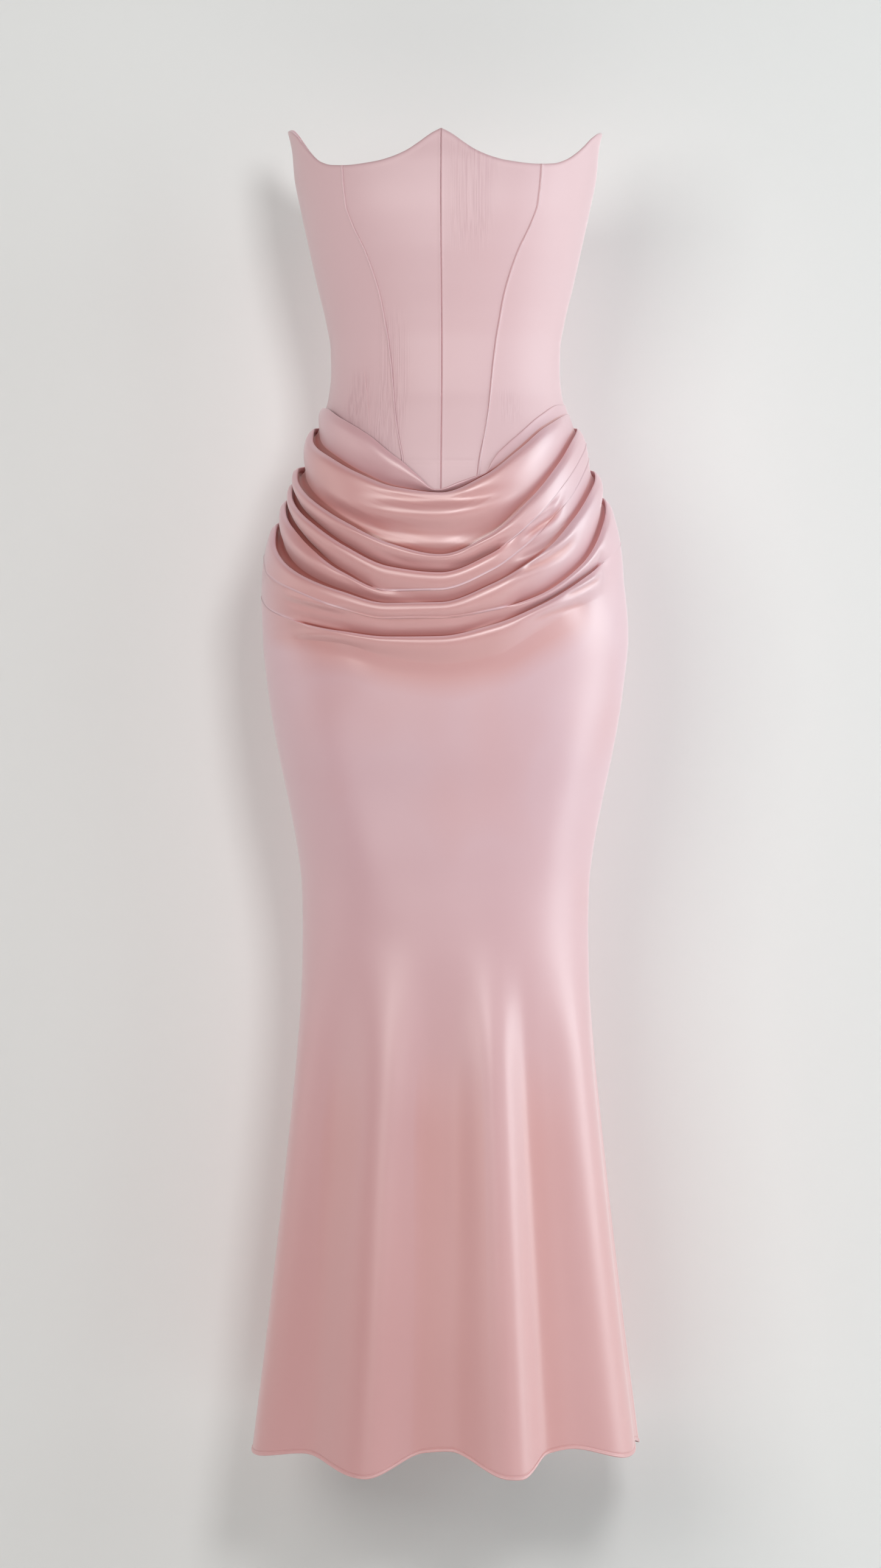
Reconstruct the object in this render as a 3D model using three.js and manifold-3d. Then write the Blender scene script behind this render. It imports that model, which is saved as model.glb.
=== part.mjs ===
// Strapless mermaid gown, filled out as if worn and held at the waist.
// Millimetres, +Z up, the front faces -Y, the origin is the middle of the waist.
// Angles are degrees round the body from centre front, positive towards +X.

import * as THREE from "three";
import { mergeVertices } from "three/addons/utils/BufferGeometryUtils.js";
import Module from "manifold-3d";

// Driving dimensions
const CLOTH = 1.5; // satin on its backing
const SEAM_GAP = 0.3;
const SIDE_SEAM = 98; // degrees, a little behind the widest line
const BACK_PRINCESS = 138;
const DRAPE_LIFT = 2.2; // the skirt front laps over the bodice's edge
const LIFT_START = -180; // from here down the front comes back to the body
const LIFT_END = -320;
const EDGE_LAP = 2.5; // how far the bodice's lower edge runs in behind the skirt front
const POCKET = 1.8; // how far each fold runs down behind the lip of the next one
const LIP_IN = 1.2; // the front's upper edge, and the cloth above each lip, end this far in
const POCKET_OPEN = 4; // a lip that stands out this far has its full pocket
const BACK_WAIST = -44.5;
const WAIST_LEVELS_BY = 0.25; // share of the way round the back where the waist seam is level
const SIDE_OF_BODY = 90; // degrees, where the front's depth gives way to the back's
const CUP_RISE = 4;
const CUP_ANGLE = 36;
const CUP_HEIGHT = 150;
const CUP_SPREAD = 24; // degrees
const CUP_REACH = 45; // up and down
const FLUTE_TOP = -560; // the flutes start just below the knee
const FLUTE_FULL = -1080;
const FLUTE_OPENING = 90; // they open to their first share within this height
const FLUTE_FIRST_SHARE = 0.45;
const FLUTE_CURVE = 1.25;
const SKIRT_GAP_HEIGHT = -500; // where the skirt's seam gaps are measured
const BACK_ROW_CURVE = 1.1; // the back's rows lie a little closer together at the waist

const SATIN = { color: 0xd9b6ba, roughness: 0.42, metalness: 0 };
const METAL = { color: 0xd3bdb9, roughness: 0.3, metalness: 1 };
const TAPE = { color: 0xcdaaae, roughness: 0.7, metalness: 0 };

// Level sections of the body: half width, and how far the front and the back lie from the middle
const BODY = [
  { z: -1110, half: 197, front: 138, back: 162 },
  { z: -1048, half: 189.5, front: 132, back: 154 },
  { z: -960, half: 178.5, front: 124, back: 142 },
  { z: -772, half: 157.2, front: 107, back: 116 },
  { z: -672, half: 147.2, front: 99.5, back: 105 },
  { z: -593, half: 141.6, front: 95, back: 98 },
  { z: -555, half: 140.7, front: 94, back: 96 },
  { z: -514, half: 141.6, front: 94, back: 96 },
  { z: -482, half: 145, front: 95, back: 98 },
  { z: -427, half: 155.2, front: 97, back: 104 },
  { z: -386, half: 164, front: 100, back: 110 },
  { z: -318, half: 175.4, front: 104, back: 121 },
  { z: -270, half: 179.6, front: 106.5, back: 128 },
  { z: -245, half: 178, front: 107, back: 130 },
  { z: -210, half: 173, front: 107, back: 131 },
  { z: -181, half: 166.5, front: 106, back: 129 },
  { z: -150, half: 157, front: 103, back: 125 },
  { z: -100, half: 139, front: 96, back: 112 },
  { z: -70, half: 127.5, front: 90, back: 101 },
  { z: -50, half: 120, front: 86, back: 93 },
  { z: -30, half: 114.8, front: 82, back: 86 },
  { z: -7, half: 112.7, front: 80, back: 81 },
  { z: 15, half: 113.2, front: 80, back: 79 },
  { z: 41, half: 117.5, front: 83, back: 80 },
  { z: 76, half: 125.9, front: 90, back: 83 },
  { z: 111, half: 133.7, front: 97, back: 87 },
  { z: 151, half: 142.4, front: 101, back: 90 },
  { z: 186, half: 149.2, front: 99, back: 89 },
  { z: 208, half: 151, front: 95.5, back: 87 },
  { z: 228, half: 155, front: 92, back: 85 },
  { z: 240, half: 158, front: 90, back: 84 },
];

// Neckline: a peak at the front, two scoops and a peak at each side, then low across the back.
// Heights at these angles to the left and to the right: the right peak sits a little lower.
const NECK = [
  { angle: 0, left: 219, right: 219 },
  { angle: 3.3, left: 214.5, right: 214.5 },
  { angle: 9, left: 204, right: 204 },
  { angle: 13, left: 197.5, right: 197.5 },
  { angle: 19, left: 191.3, right: 191.3 },
  { angle: 25, left: 187.8, right: 187.8 },
  { angle: 36, left: 185.7, right: 185.7 },
  { angle: 46, left: 187.5, right: 187.5 },
  { angle: 52, left: 191.5, right: 191.5 },
  { angle: 61.5, left: 205.7, right: 202.5 },
  { angle: 66, left: 212.8, right: 208.8 },
  { angle: 72, left: 222.7, right: 217.5 },
  { angle: 80, left: 229, right: 224.2 },
  { angle: 88, left: 231.2, right: 226.8 },
  { angle: 98, left: 234, right: 229 },
  { angle: 103, left: 235, right: 229.7 },
  { angle: 108, left: 231.4, right: 227.8 },
  { angle: 112, left: 224.4, right: 224.2 },
  { angle: 116, left: 216.5, right: 219.5 },
  { angle: 121, left: 208.5, right: 211 },
  { angle: 128, left: 199.5, right: 201 },
  { angle: 136, left: 192.5, right: 193 },
  { angle: 150, left: 186, right: 186 },
  { angle: 180, left: 181, right: 181 },
];

// The front princess seam comes in from the bust to the point of the bodice
const PRINCESS = [
  { z: -125, angle: 13 },
  { z: -97, angle: 15.5 },
  { z: -70, angle: 19.3 },
  { z: -38, angle: 23.2 },
  { z: 0, angle: 26 },
  { z: 30, angle: 27.8 },
  { z: 62, angle: 29.3 },
  { z: 98, angle: 33 },
  { z: 130, angle: 38 },
  { z: 147, angle: 39.6 },
  { z: 220, angle: 39 },
];

// Upper lips of the hip folds at these angles, top to bottom, and how far each stands out there.
// The last row is where the lowest soft roll ends.
const FOLD_ANGLES = [-98, -84, -70, -50, -32, -16, 0, 16, 32, 50, 70, 84, 98];
const FOLDS = [
  {
    name: "basque edge",
    z: [-44, -44, -45.5, -57.5, -75, -100, -122, -106, -79, -56, -42, -40, -40],
    out: [1, 2, 3, 4, 4, 4, 4, 3, 2, 1.5, 1.5, 1, 1],
  },
  {
    name: "first cowl",
    z: [-61, -64, -78, -95, -113, -128, -134, -117, -91, -66, -53, -50, -50],
    out: [2, 4, 5, 6, 6, 6.5, 6.5, 6, 5.5, 4, 2, 1, 1],
  },
  {
    name: "second cowl",
    z: [-98, -102, -117, -140, -163, -183, -193, -174, -139, -103, -75, -65, -62],
    out: [3, 5, 6, 7, 7, 7.5, 7.5, 7, 7, 6, 5, 4, 2],
  },
  {
    name: "left half fold",
    z: [-113, -118, -135, -160, -185, -204, -210, -192, -160, -122, -91, -79, -75],
    out: [3, 4, 5, 5.5, 5.5, 5, 4.5, 3, 0.8, 0, 0, 0, 0],
  },
  {
    name: "left short fold",
    z: [-130, -136, -153, -182, -209, -227, -226, -208, -178, -140, -107, -93, -88],
    out: [3, 4.5, 5, 5.5, 4, 1.2, 0, 0, 0, 0, 0, 0, 0],
  },
  {
    name: "deep cowl",
    z: [-152, -159, -183, -209, -227, -239, -239, -222, -194, -157, -123, -109, -102],
    out: [3, 6, 7, 8, 8, 8, 7.5, 7.5, 7.5, 7, 6.5, 5, 3],
  },
  {
    name: "right half fold",
    z: [-182, -188, -206, -226, -243, -254, -254, -246, -231, -200, -158, -138, -128],
    out: [0, 0, 0, 0, 0, 0, 0, 0.8, 4, 6, 6, 5, 3],
  },
  {
    name: "lowest cowl",
    z: [-222, -228, -242, -256, -266, -272, -271, -260, -240, -214, -191, -178, -170],
    out: [0, 0, 0.5, 2, 5, 6, 6.5, 6.5, 6.5, 5, 0.8, 0, 0],
  },
  {
    name: "end of the lowest roll",
    z: [-264, -267, -271, -276, -280, -294, -301, -294, -268, -244, -228, -221, -217],
    out: [0, 0, 0, 0, 0, 0, 0, 0, 0, 0, 0, 0, 0],
  },
];

// The cloth below a lip, as shares of the way down to the next one, and of how far it stands out
const FOLD_FACE = [
  { down: 0.3, out: 0.8 },
  { down: 0.66, out: 0.38 },
];
const LOWEST_ROLL = [
  { down: 0.3, out: 0.95, swell: 1 },
  { down: 0.66, out: 0.8, swell: 1 },
  { down: 0.9, out: 0.4, swell: 0.4 },
  { down: 1, out: 0.12, swell: 0 },
];
const FACE_FOOT_OUT = 0.05;
const POCKET_OUT = 0.2;

// Ridges and valleys of the skirt's flutes at the hem: how far out, and the hem's height there
const FLUTES = [
  { angle: -180, out: -8, hem: -1058 },
  { angle: -157, out: 9, hem: -1071 },
  { angle: -134, out: -8, hem: -1057 },
  { angle: -112, out: 8, hem: -1069 },
  { angle: -90, out: -4, hem: -1064 },
  { angle: -68, out: 5, hem: -1067 },
  { angle: -45, out: -9, hem: -1060 },
  { angle: -21, out: 10, hem: -1076 },
  { angle: 2, out: -13, hem: -1051 },
  { angle: 20, out: 12, hem: -1076 },
  { angle: 38, out: -11, hem: -1053 },
  { angle: 64, out: 8, hem: -1065 },
  { angle: 88, out: -5, hem: -1059 },
  { angle: 111, out: 8, hem: -1069 },
  { angle: 134, out: -8, hem: -1057 },
  { angle: 157, out: 9, hem: -1071 },
  { angle: 180, out: -8, hem: -1058 },
];

// Zip slider and pull tab at the top of the centre-back seam
const ZIP = {
  end: -150,
  tapeBelowNeck: 4,
  tapeInside: 2.4,
  tapeHalfAngle: 4.5,
  tapeColumns: 4,
  tapeRows: 16,
  sliderHeight: 172,
  baseHalfWidth: 3.5,
  baseHeight: 10,
  baseThickness: 1.4,
  baseClear: 0.5,
  earInside: 2.4,
  earThickness: 1,
  earHeight: 4.8,
  earSink: 0.2,
  earHead: 0.8,
  pinEnd: 0.5,
  pinRadius: 0.7,
  pinStandOff: 2.5,
  eyeInner: 1.1,
  eyeOuter: 1.9,
  eyeHalfWidth: 1.8,
  tabLength: 26,
  tabThickness: 1,
  tabHalfWidth: 2.8,
  tabWidensAt: 5,
};

const radians = THREE.MathUtils.degToRad;
const { lerp, clamp } = THREE.MathUtils;

// A smooth curve through the points that never swings past them
function smoothCurve(xs, ys) {
  const count = xs.length;
  const step = [];
  const rise = [];
  for (let i = 0; i < count - 1; i += 1) {
    step.push(xs[i + 1] - xs[i]);
    rise.push((ys[i + 1] - ys[i]) / step[i]);
  }
  const slope = [rise[0]];
  for (let i = 1; i < count - 1; i += 1) {
    const product = rise[i - 1] * rise[i];
    const before = 2 * step[i] + step[i - 1];
    const after = step[i] + 2 * step[i - 1];
    const mean = (before + after) / (before / rise[i - 1] + after / rise[i]);
    slope.push(product > 0 ? mean : 0);
  }
  slope.push(rise[count - 2]);
  return (x) => {
    let i = 0;
    while (i < count - 2 && x > xs[i + 1]) {
      i += 1;
    }
    const t = clamp((x - xs[i]) / step[i], 0, 1);
    const s = 1 - t;
    const start = ys[i] * (1 + 2 * t) + slope[i] * step[i] * t;
    const end = ys[i + 1] * (1 + 2 * s) - slope[i + 1] * step[i] * s;
    return start * s * s + end * t * t;
  };
}

function tableCurve(table, from, to) {
  return smoothCurve(table.map((row) => row[from]), table.map((row) => row[to]));
}

const halfWidth = tableCurve(BODY, "z", "half");
const frontDepth = tableCurve(BODY, "z", "front");
const backDepth = tableCurve(BODY, "z", "back");
const neckOnLeft = tableCurve(NECK, "angle", "left");
const neckOnRight = tableCurve(NECK, "angle", "right");
const princessAngle = tableCurve(PRINCESS, "z", "angle");
const fluteOut = tableCurve(FLUTES, "angle", "out");
const hemHeight = tableCurve(FLUTES, "angle", "hem");
const foldCurves = FOLDS.map((fold) => ({
  height: smoothCurve(FOLD_ANGLES, fold.z),
  out: smoothCurve(FOLD_ANGLES, fold.out),
}));

function neckHeight(angle) {
  return angle < 0 ? neckOnLeft(-angle) : neckOnRight(angle);
}

// The waist seam: the bodice's lower edge follows the first lip, and runs level across the back
function waistHeight(angle) {
  return foldCurves[0].height(clamp(angle, -SIDE_SEAM, SIDE_SEAM)) - EDGE_LAP;
}

function backWaistHeight(angle) {
  const side = Math.sign(angle) * SIDE_SEAM;
  const share = (Math.abs(angle) - SIDE_SEAM) / (180 - SIDE_SEAM);
  return lerp(waistHeight(side), BACK_WAIST, clamp(share / WAIST_LEVELS_BY, 0, 1));
}

function lowerEdge(angle) {
  return Math.abs(angle) <= SIDE_SEAM ? waistHeight(angle) : backWaistHeight(angle);
}

// Soft cups over the bust, and flutes that open towards the hem
function relief(angle, z) {
  const aside = (Math.abs(angle) - CUP_ANGLE) / CUP_SPREAD;
  const above = (z - CUP_HEIGHT) / CUP_REACH;
  const cup = CUP_RISE * Math.exp(-aside * aside - above * above);
  const opening = 1 - THREE.MathUtils.smoothstep(z, FLUTE_TOP - FLUTE_OPENING, FLUTE_TOP);
  const fall = clamp((FLUTE_TOP - z) / (FLUTE_TOP - FLUTE_FULL), 0, 1);
  return cup + fluteOut(angle) * lerp(fall ** FLUTE_CURVE, opening, FLUTE_FIRST_SHARE);
}

function bodyPoint(angle, z, lift = 0) {
  const turn = radians(angle);
  const wide = halfWidth(z);
  const deep = Math.abs(angle) <= SIDE_OF_BODY ? frontDepth(z) : backDepth(z);
  const outward = new THREE.Vector2(deep * Math.sin(turn), -wide * Math.cos(turn)).normalize();
  const out = lift + relief(angle, z);
  return new THREE.Vector3(
    wide * Math.sin(turn) + outward.x * out,
    -deep * Math.cos(turn) + outward.y * out,
    z,
  );
}

// Half a seam gap as an angle, at this angle and height
function gapAngle(angle, z) {
  const perDegree = bodyPoint(angle + 0.5, z).distanceTo(bodyPoint(angle - 0.5, z));
  return SEAM_GAP / 2 / perDegree;
}

// A closed wall of cloth through a grid of outer points. The points one column past each side
// edge only steer the wall's direction, so that neighbours keep their gap all the way in.
function clothWall(point, columns, rows) {
  const grid = [];
  for (let i = -1; i <= columns + 1; i += 1) {
    const line = [];
    for (let j = 0; j <= rows; j += 1) {
      line.push(point(i, j));
    }
    grid.push(line);
  }
  const faceNormal = (i, j) => {
    const a = new THREE.Vector3().subVectors(grid[i + 1][j + 1], grid[i][j]);
    const b = new THREE.Vector3().subVectors(grid[i][j + 1], grid[i + 1][j]);
    return b.cross(a).normalize();
  };
  const outer = [];
  const inner = [];
  for (let i = 1; i <= columns + 1; i += 1) {
    for (let j = 0; j <= rows; j += 1) {
      const faces = [];
      for (const [a, b] of [[i - 1, j - 1], [i, j - 1], [i - 1, j], [i, j]]) {
        if (b >= 0 && b < rows) {
          faces.push(faceNormal(a, b));
        }
      }
      const normal = faces.reduce((sum, face) => sum.add(face), new THREE.Vector3()).normalize();
      const lean = Math.min(...faces.map((face) => face.dot(normal)));
      outer.push(grid[i][j]);
      inner.push(grid[i][j].clone().addScaledVector(normal, -CLOTH / Math.max(lean, 0.75)));
    }
  }
  return closedGrid(outer, inner, columns, rows);
}

function closedGrid(outer, inner, columns, rows) {
  const count = outer.length;
  const at = (i, j) => i * (rows + 1) + j;
  const triangles = [];
  const quad = (a, b, c, d) => triangles.push(a, b, c, a, c, d);
  for (let i = 0; i < columns; i += 1) {
    for (let j = 0; j < rows; j += 1) {
      quad(at(i, j), at(i, j + 1), at(i + 1, j + 1), at(i + 1, j));
      quad(count + at(i, j), count + at(i + 1, j), count + at(i + 1, j + 1), count + at(i, j + 1));
    }
    quad(at(i, 0), at(i + 1, 0), count + at(i + 1, 0), count + at(i, 0));
    quad(at(i + 1, rows), at(i, rows), count + at(i, rows), count + at(i + 1, rows));
  }
  for (let j = 0; j < rows; j += 1) {
    quad(at(0, j + 1), at(0, j), count + at(0, j), count + at(0, j + 1));
    quad(at(columns, j), at(columns, j + 1), count + at(columns, j + 1), count + at(columns, j));
  }
  const geometry = new THREE.BufferGeometry();
  const points = [...outer, ...inner].flatMap((p) => [p.x, p.y, p.z]);
  geometry.setAttribute("position", new THREE.Float32BufferAttribute(points, 3));
  geometry.setIndex(triangles);
  geometry.computeVertexNormals();
  return geometry;
}

// Places along a panel's width: even, and one step past each edge
function across(from, to, columns, i, z) {
  const start = from + gapAngle(from, z);
  const end = to - gapAngle(to, z);
  return lerp(start, end, i / columns);
}

// One bodice panel between two seams, from the neckline down to the waist seam. All the panels
// have the same rows, so that the edges of two neighbours run side by side.
const BODICE_ROWS = 13;

function bodicePanel(leftSeam, rightSeam, columns) {
  return clothWall((i, j) => {
    const share = j / BODICE_ROWS;
    let z = 100;
    let angle = 0;
    for (let pass = 0; pass < 8; pass += 1) {
      angle = across(leftSeam(z), rightSeam(z), columns, i, z);
      z = lerp(neckHeight(angle), lowerEdge(angle), share);
    }
    return bodyPoint(angle, z);
  }, columns, BODICE_ROWS);
}

// How far the front cloth stands out from the body, apart from its folds: it laps over the
// bodice's edge, and comes back to the body below the deep cowl
function frontLift(z) {
  return DRAPE_LIFT * THREE.MathUtils.smoothstep(z, LIFT_END, LIFT_START);
}

// One line of the skirt front through its folds, from its upper edge to the lowest soft roll:
// heights and how far they stand out
function foldProfile(angle) {
  const folds = foldCurves.map((fold) => ({ z: fold.height(angle), out: fold.out(angle) }));
  const line = [{ z: folds[0].z - LIP_IN, out: 0 }];
  for (let k = 0; k < folds.length - 1; k += 1) {
    const { z, out } = folds[k];
    const next = folds[k + 1];
    const drop = z - next.z;
    line.push({ z, out });
    if (k === folds.length - 2) {
      for (const row of LOWEST_ROLL) {
        line.push({ z: z - row.down * drop, out: out * row.out + row.swell });
      }
    } else {
      const share = clamp(next.out / POCKET_OPEN, 0, 1);
      for (const row of FOLD_FACE) {
        line.push({ z: z - row.down * drop, out: out * row.out });
      }
      line.push({ z: next.z + LIP_IN, out: out * FACE_FOOT_OUT });
      line.push({ z: next.z + lerp(LIP_IN / 2, -POCKET, share), out: next.out * POCKET_OUT * share });
    }
  }
  return line;
}

const FRONT_COLUMNS = 28;
const FRONT_LOWER_ROWS = 16;
const BACK_COLUMNS = 12;
const BACK_ROWS = 26;

// The skirt front is one cloth: draped into folds over the hips, then smooth down to the hem
function skirtFront() {
  const foldRows = foldProfile(0).length - 1;
  return clothWall((i, j) => {
    const angle = across(-SIDE_SEAM, SIDE_SEAM, FRONT_COLUMNS, i, SKIRT_GAP_HEIGHT);
    const line = foldProfile(clamp(angle, -SIDE_SEAM, SIDE_SEAM));
    if (j <= foldRows) {
      const { z, out } = line[j];
      return bodyPoint(angle, z, frontLift(z) + out);
    }
    const z = lerp(line[foldRows].z, hemHeight(angle), (j - foldRows) / FRONT_LOWER_ROWS);
    return bodyPoint(angle, z, frontLift(z));
  }, FRONT_COLUMNS, foldRows + FRONT_LOWER_ROWS);
}

function skirtBack(from, to) {
  return clothWall((i, j) => {
    const angle = across(from, to, BACK_COLUMNS, i, SKIRT_GAP_HEIGHT);
    const inside = clamp(angle, from, to);
    const top = lowerEdge(inside) - SEAM_GAP;
    const share = (j / BACK_ROWS) ** BACK_ROW_CURVE;
    return bodyPoint(angle, lerp(top, hemHeight(inside), share));
  }, BACK_COLUMNS, BACK_ROWS);
}

// The zip's tape lies just inside the centre-back seam
function zipTape() {
  return clothWall((i, j) => {
    const share = lerp(-1, 1, i / ZIP.tapeColumns);
    const turn = radians(180 + share * ZIP.tapeHalfAngle);
    const z = lerp(neckHeight(180) - ZIP.tapeBelowNeck, ZIP.end, j / ZIP.tapeRows);
    const deep = backDepth(z) - ZIP.tapeInside;
    return new THREE.Vector3(halfWidth(z) * Math.sin(turn), -deep * Math.cos(turn), z);
  }, ZIP.tapeColumns, ZIP.tapeRows);
}

const wasm = await Module();
wasm.setup();

function toSolid(geometry) {
  const bare = geometry.clone();
  bare.deleteAttribute("normal");
  bare.deleteAttribute("uv");
  const merged = mergeVertices(bare, 1e-4);
  return new wasm.Manifold(new wasm.Mesh({
    numProp: 3,
    vertProperties: new Float32Array(merged.attributes.position.array),
    triVerts: new Uint32Array(merged.index.array),
  }));
}

function joined(geometries) {
  const mesh = geometries.map(toSolid).reduce((sum, piece) => sum.add(piece)).getMesh();
  const geometry = new THREE.BufferGeometry();
  geometry.setAttribute("position", new THREE.Float32BufferAttribute(mesh.vertProperties, 3));
  geometry.setIndex([...mesh.triVerts]);
  geometry.computeVertexNormals();
  return geometry;
}

function box(low, high) {
  const geometry = new THREE.BoxGeometry(high.x - low.x, high.y - low.y, high.z - low.z);
  geometry.translate((low.x + high.x) / 2, (low.y + high.y) / 2, (low.z + high.z) / 2);
  return geometry;
}

// The slider's parts are drawn about the pin's axis, which runs along X through the origin
function zipSlider() {
  const base = ZIP.pinStandOff + ZIP.baseThickness;
  const plate = box(
    { x: -ZIP.baseHalfWidth, y: -base, z: -ZIP.baseHeight / 2 },
    { x: ZIP.baseHalfWidth, y: -ZIP.pinStandOff, z: ZIP.baseHeight / 2 },
  );
  const ears = [-1, 1].map((side) => {
    const near = side * ZIP.earInside;
    const far = side * (ZIP.earInside + ZIP.earThickness);
    return box(
      { x: Math.min(near, far), y: -ZIP.pinStandOff - ZIP.earSink, z: -ZIP.earHeight / 2 },
      { x: Math.max(near, far), y: ZIP.pinRadius + ZIP.earHead, z: ZIP.earHeight / 2 },
    );
  });
  const pinLength = 2 * (ZIP.earInside + ZIP.pinEnd);
  const pin = new THREE.CylinderGeometry(ZIP.pinRadius, ZIP.pinRadius, pinLength, 16);
  pin.rotateZ(Math.PI / 2);
  return joined([plate, ...ears, pin]);
}

function zipPull() {
  const ring = new THREE.Shape();
  ring.absarc(0, 0, ZIP.eyeOuter, 0, 2 * Math.PI);
  const hole = new THREE.Path();
  hole.absarc(0, 0, ZIP.eyeInner, 0, 2 * Math.PI, true);
  ring.holes.push(hole);
  const eye = new THREE.ExtrudeGeometry(ring, {
    depth: 2 * ZIP.eyeHalfWidth,
    bevelEnabled: false,
    curveSegments: 16,
  });
  eye.translate(0, 0, -ZIP.eyeHalfWidth);
  eye.rotateY(Math.PI / 2);

  const plate = new THREE.Shape();
  const start = -(ZIP.eyeInner + ZIP.eyeOuter) / 2;
  const end = -ZIP.tabLength + ZIP.tabHalfWidth;
  plate.moveTo(-ZIP.eyeHalfWidth, start);
  plate.lineTo(-ZIP.eyeHalfWidth, -ZIP.tabWidensAt);
  plate.lineTo(-ZIP.tabHalfWidth, -ZIP.tabWidensAt * 2);
  plate.lineTo(-ZIP.tabHalfWidth, end);
  plate.absarc(0, end, ZIP.tabHalfWidth, Math.PI, 2 * Math.PI);
  plate.lineTo(ZIP.tabHalfWidth, -ZIP.tabWidensAt * 2);
  plate.lineTo(ZIP.eyeHalfWidth, -ZIP.tabWidensAt);
  plate.lineTo(ZIP.eyeHalfWidth, start);
  const tab = new THREE.ExtrudeGeometry(plate, {
    depth: ZIP.tabThickness,
    bevelEnabled: false,
    curveSegments: 8,
  });
  tab.translate(0, 0, -ZIP.tabThickness / 2);
  tab.rotateX(Math.PI / 2);
  return joined([eye, tab]);
}

function named(name, geometry, look) {
  const mesh = new THREE.Mesh(geometry, new THREE.MeshStandardMaterial(look));
  mesh.name = name;
  return mesh;
}

const dress = new THREE.Group();
const centreFront = () => 0;
const centreBack = (side) => () => side * 180;
const frontPrincess = (side) => (z) => side * princessAngle(z);
const sideSeam = (side) => () => side * SIDE_SEAM;
const backPrincess = (side) => () => side * BACK_PRINCESS;

for (const { side, word } of [{ side: -1, word: "left" }, { side: 1, word: "right" }]) {
  const panels = [
    { name: "centre_front", seams: [centreFront, frontPrincess(side)], columns: 5 },
    { name: "side_front", seams: [frontPrincess(side), sideSeam(side)], columns: 8 },
    { name: "side_back", seams: [sideSeam(side), backPrincess(side)], columns: 5 },
    { name: "centre_back", seams: [backPrincess(side), centreBack(side)], columns: 4 },
  ];
  for (const { name, seams, columns } of panels) {
    const [first, second] = side > 0 ? seams : [seams[1], seams[0]];
    dress.add(named(`bodice_${name}_${word}`, bodicePanel(first, second, columns), SATIN));
  }
}

dress.add(named("skirt_front", skirtFront(), SATIN));
dress.add(named("skirt_back_left", skirtBack(-180, -SIDE_SEAM), SATIN));
dress.add(named("skirt_back_right", skirtBack(SIDE_SEAM, 180), SATIN));
dress.add(named("zip_tape", zipTape(), TAPE));

const zipAxis = new THREE.Group();
const pinOut = ZIP.baseClear + ZIP.baseThickness + ZIP.pinStandOff;
zipAxis.position.set(0, backDepth(ZIP.sliderHeight) + pinOut, ZIP.sliderHeight);
zipAxis.add(named("zip_slider", zipSlider(), METAL));
zipAxis.add(named("zip_pull", zipPull(), METAL));
dress.add(zipAxis);

export default dress;
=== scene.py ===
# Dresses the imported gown: satin panels with their seams, a skirt front draped into folds over
# the hips, flutes and a rolled hem below, and the zip at the back. Sizes are in millimetres until
# a mesh is made, and angles are degrees round the body from centre front, positive towards +X.

import math

import bpy
import numpy as np
from bpy.props import FloatProperty, FloatVectorProperty, PointerProperty
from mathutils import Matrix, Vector


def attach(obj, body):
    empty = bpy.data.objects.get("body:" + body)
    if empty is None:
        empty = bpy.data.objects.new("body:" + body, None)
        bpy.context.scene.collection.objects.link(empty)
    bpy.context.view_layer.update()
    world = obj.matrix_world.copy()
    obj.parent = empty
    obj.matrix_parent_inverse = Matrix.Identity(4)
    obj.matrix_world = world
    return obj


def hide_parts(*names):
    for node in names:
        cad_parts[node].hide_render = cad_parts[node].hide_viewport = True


bl_info = {
    "name": "Draped Mermaid Gown",
    "version": (1, 0, 0),
    "blender": (4, 5, 0),
    "location": "View3D > Sidebar > Gown",
    "description": "Cuts and drapes a strapless satin gown on its packed frame",
    "category": "Add Mesh",
}

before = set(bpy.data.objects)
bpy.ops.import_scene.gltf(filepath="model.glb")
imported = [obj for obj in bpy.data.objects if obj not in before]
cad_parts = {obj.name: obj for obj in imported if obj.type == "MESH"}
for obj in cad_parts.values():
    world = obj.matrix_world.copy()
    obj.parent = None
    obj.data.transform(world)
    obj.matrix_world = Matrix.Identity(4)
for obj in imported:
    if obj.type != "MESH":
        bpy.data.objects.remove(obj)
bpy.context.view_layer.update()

MM = 0.001
SIDE_SEAM = 98.0
BACK_PRINCESS = 138.0
EDGE_LAP = 2.5
DRAPE_LIFT = 2.2
SEWN_DOWN = 6.5
SEWN_LIFT = 0.2
LIFT_START = -180.0
LIFT_END = -320.0
CUP_RISE = 4.0
CUP_ANGLE = 36.0
CUP_HEIGHT = 150.0
CUP_WIDE = 24.0
CUP_TALL = 45.0
FLUTE_TOP = -560.0
FLUTE_FULL = -1080.0
FLUTE_SWELL = 0.45
FLUTE_SWELL_OVER = 140.0
FLUTE_OPENING = 1.25
BACK_WAIST = -44.5
LEVEL_WITHIN = 20.5
SEAM_GAP = 0.3
HEM_ROLL = 3.8

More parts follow.
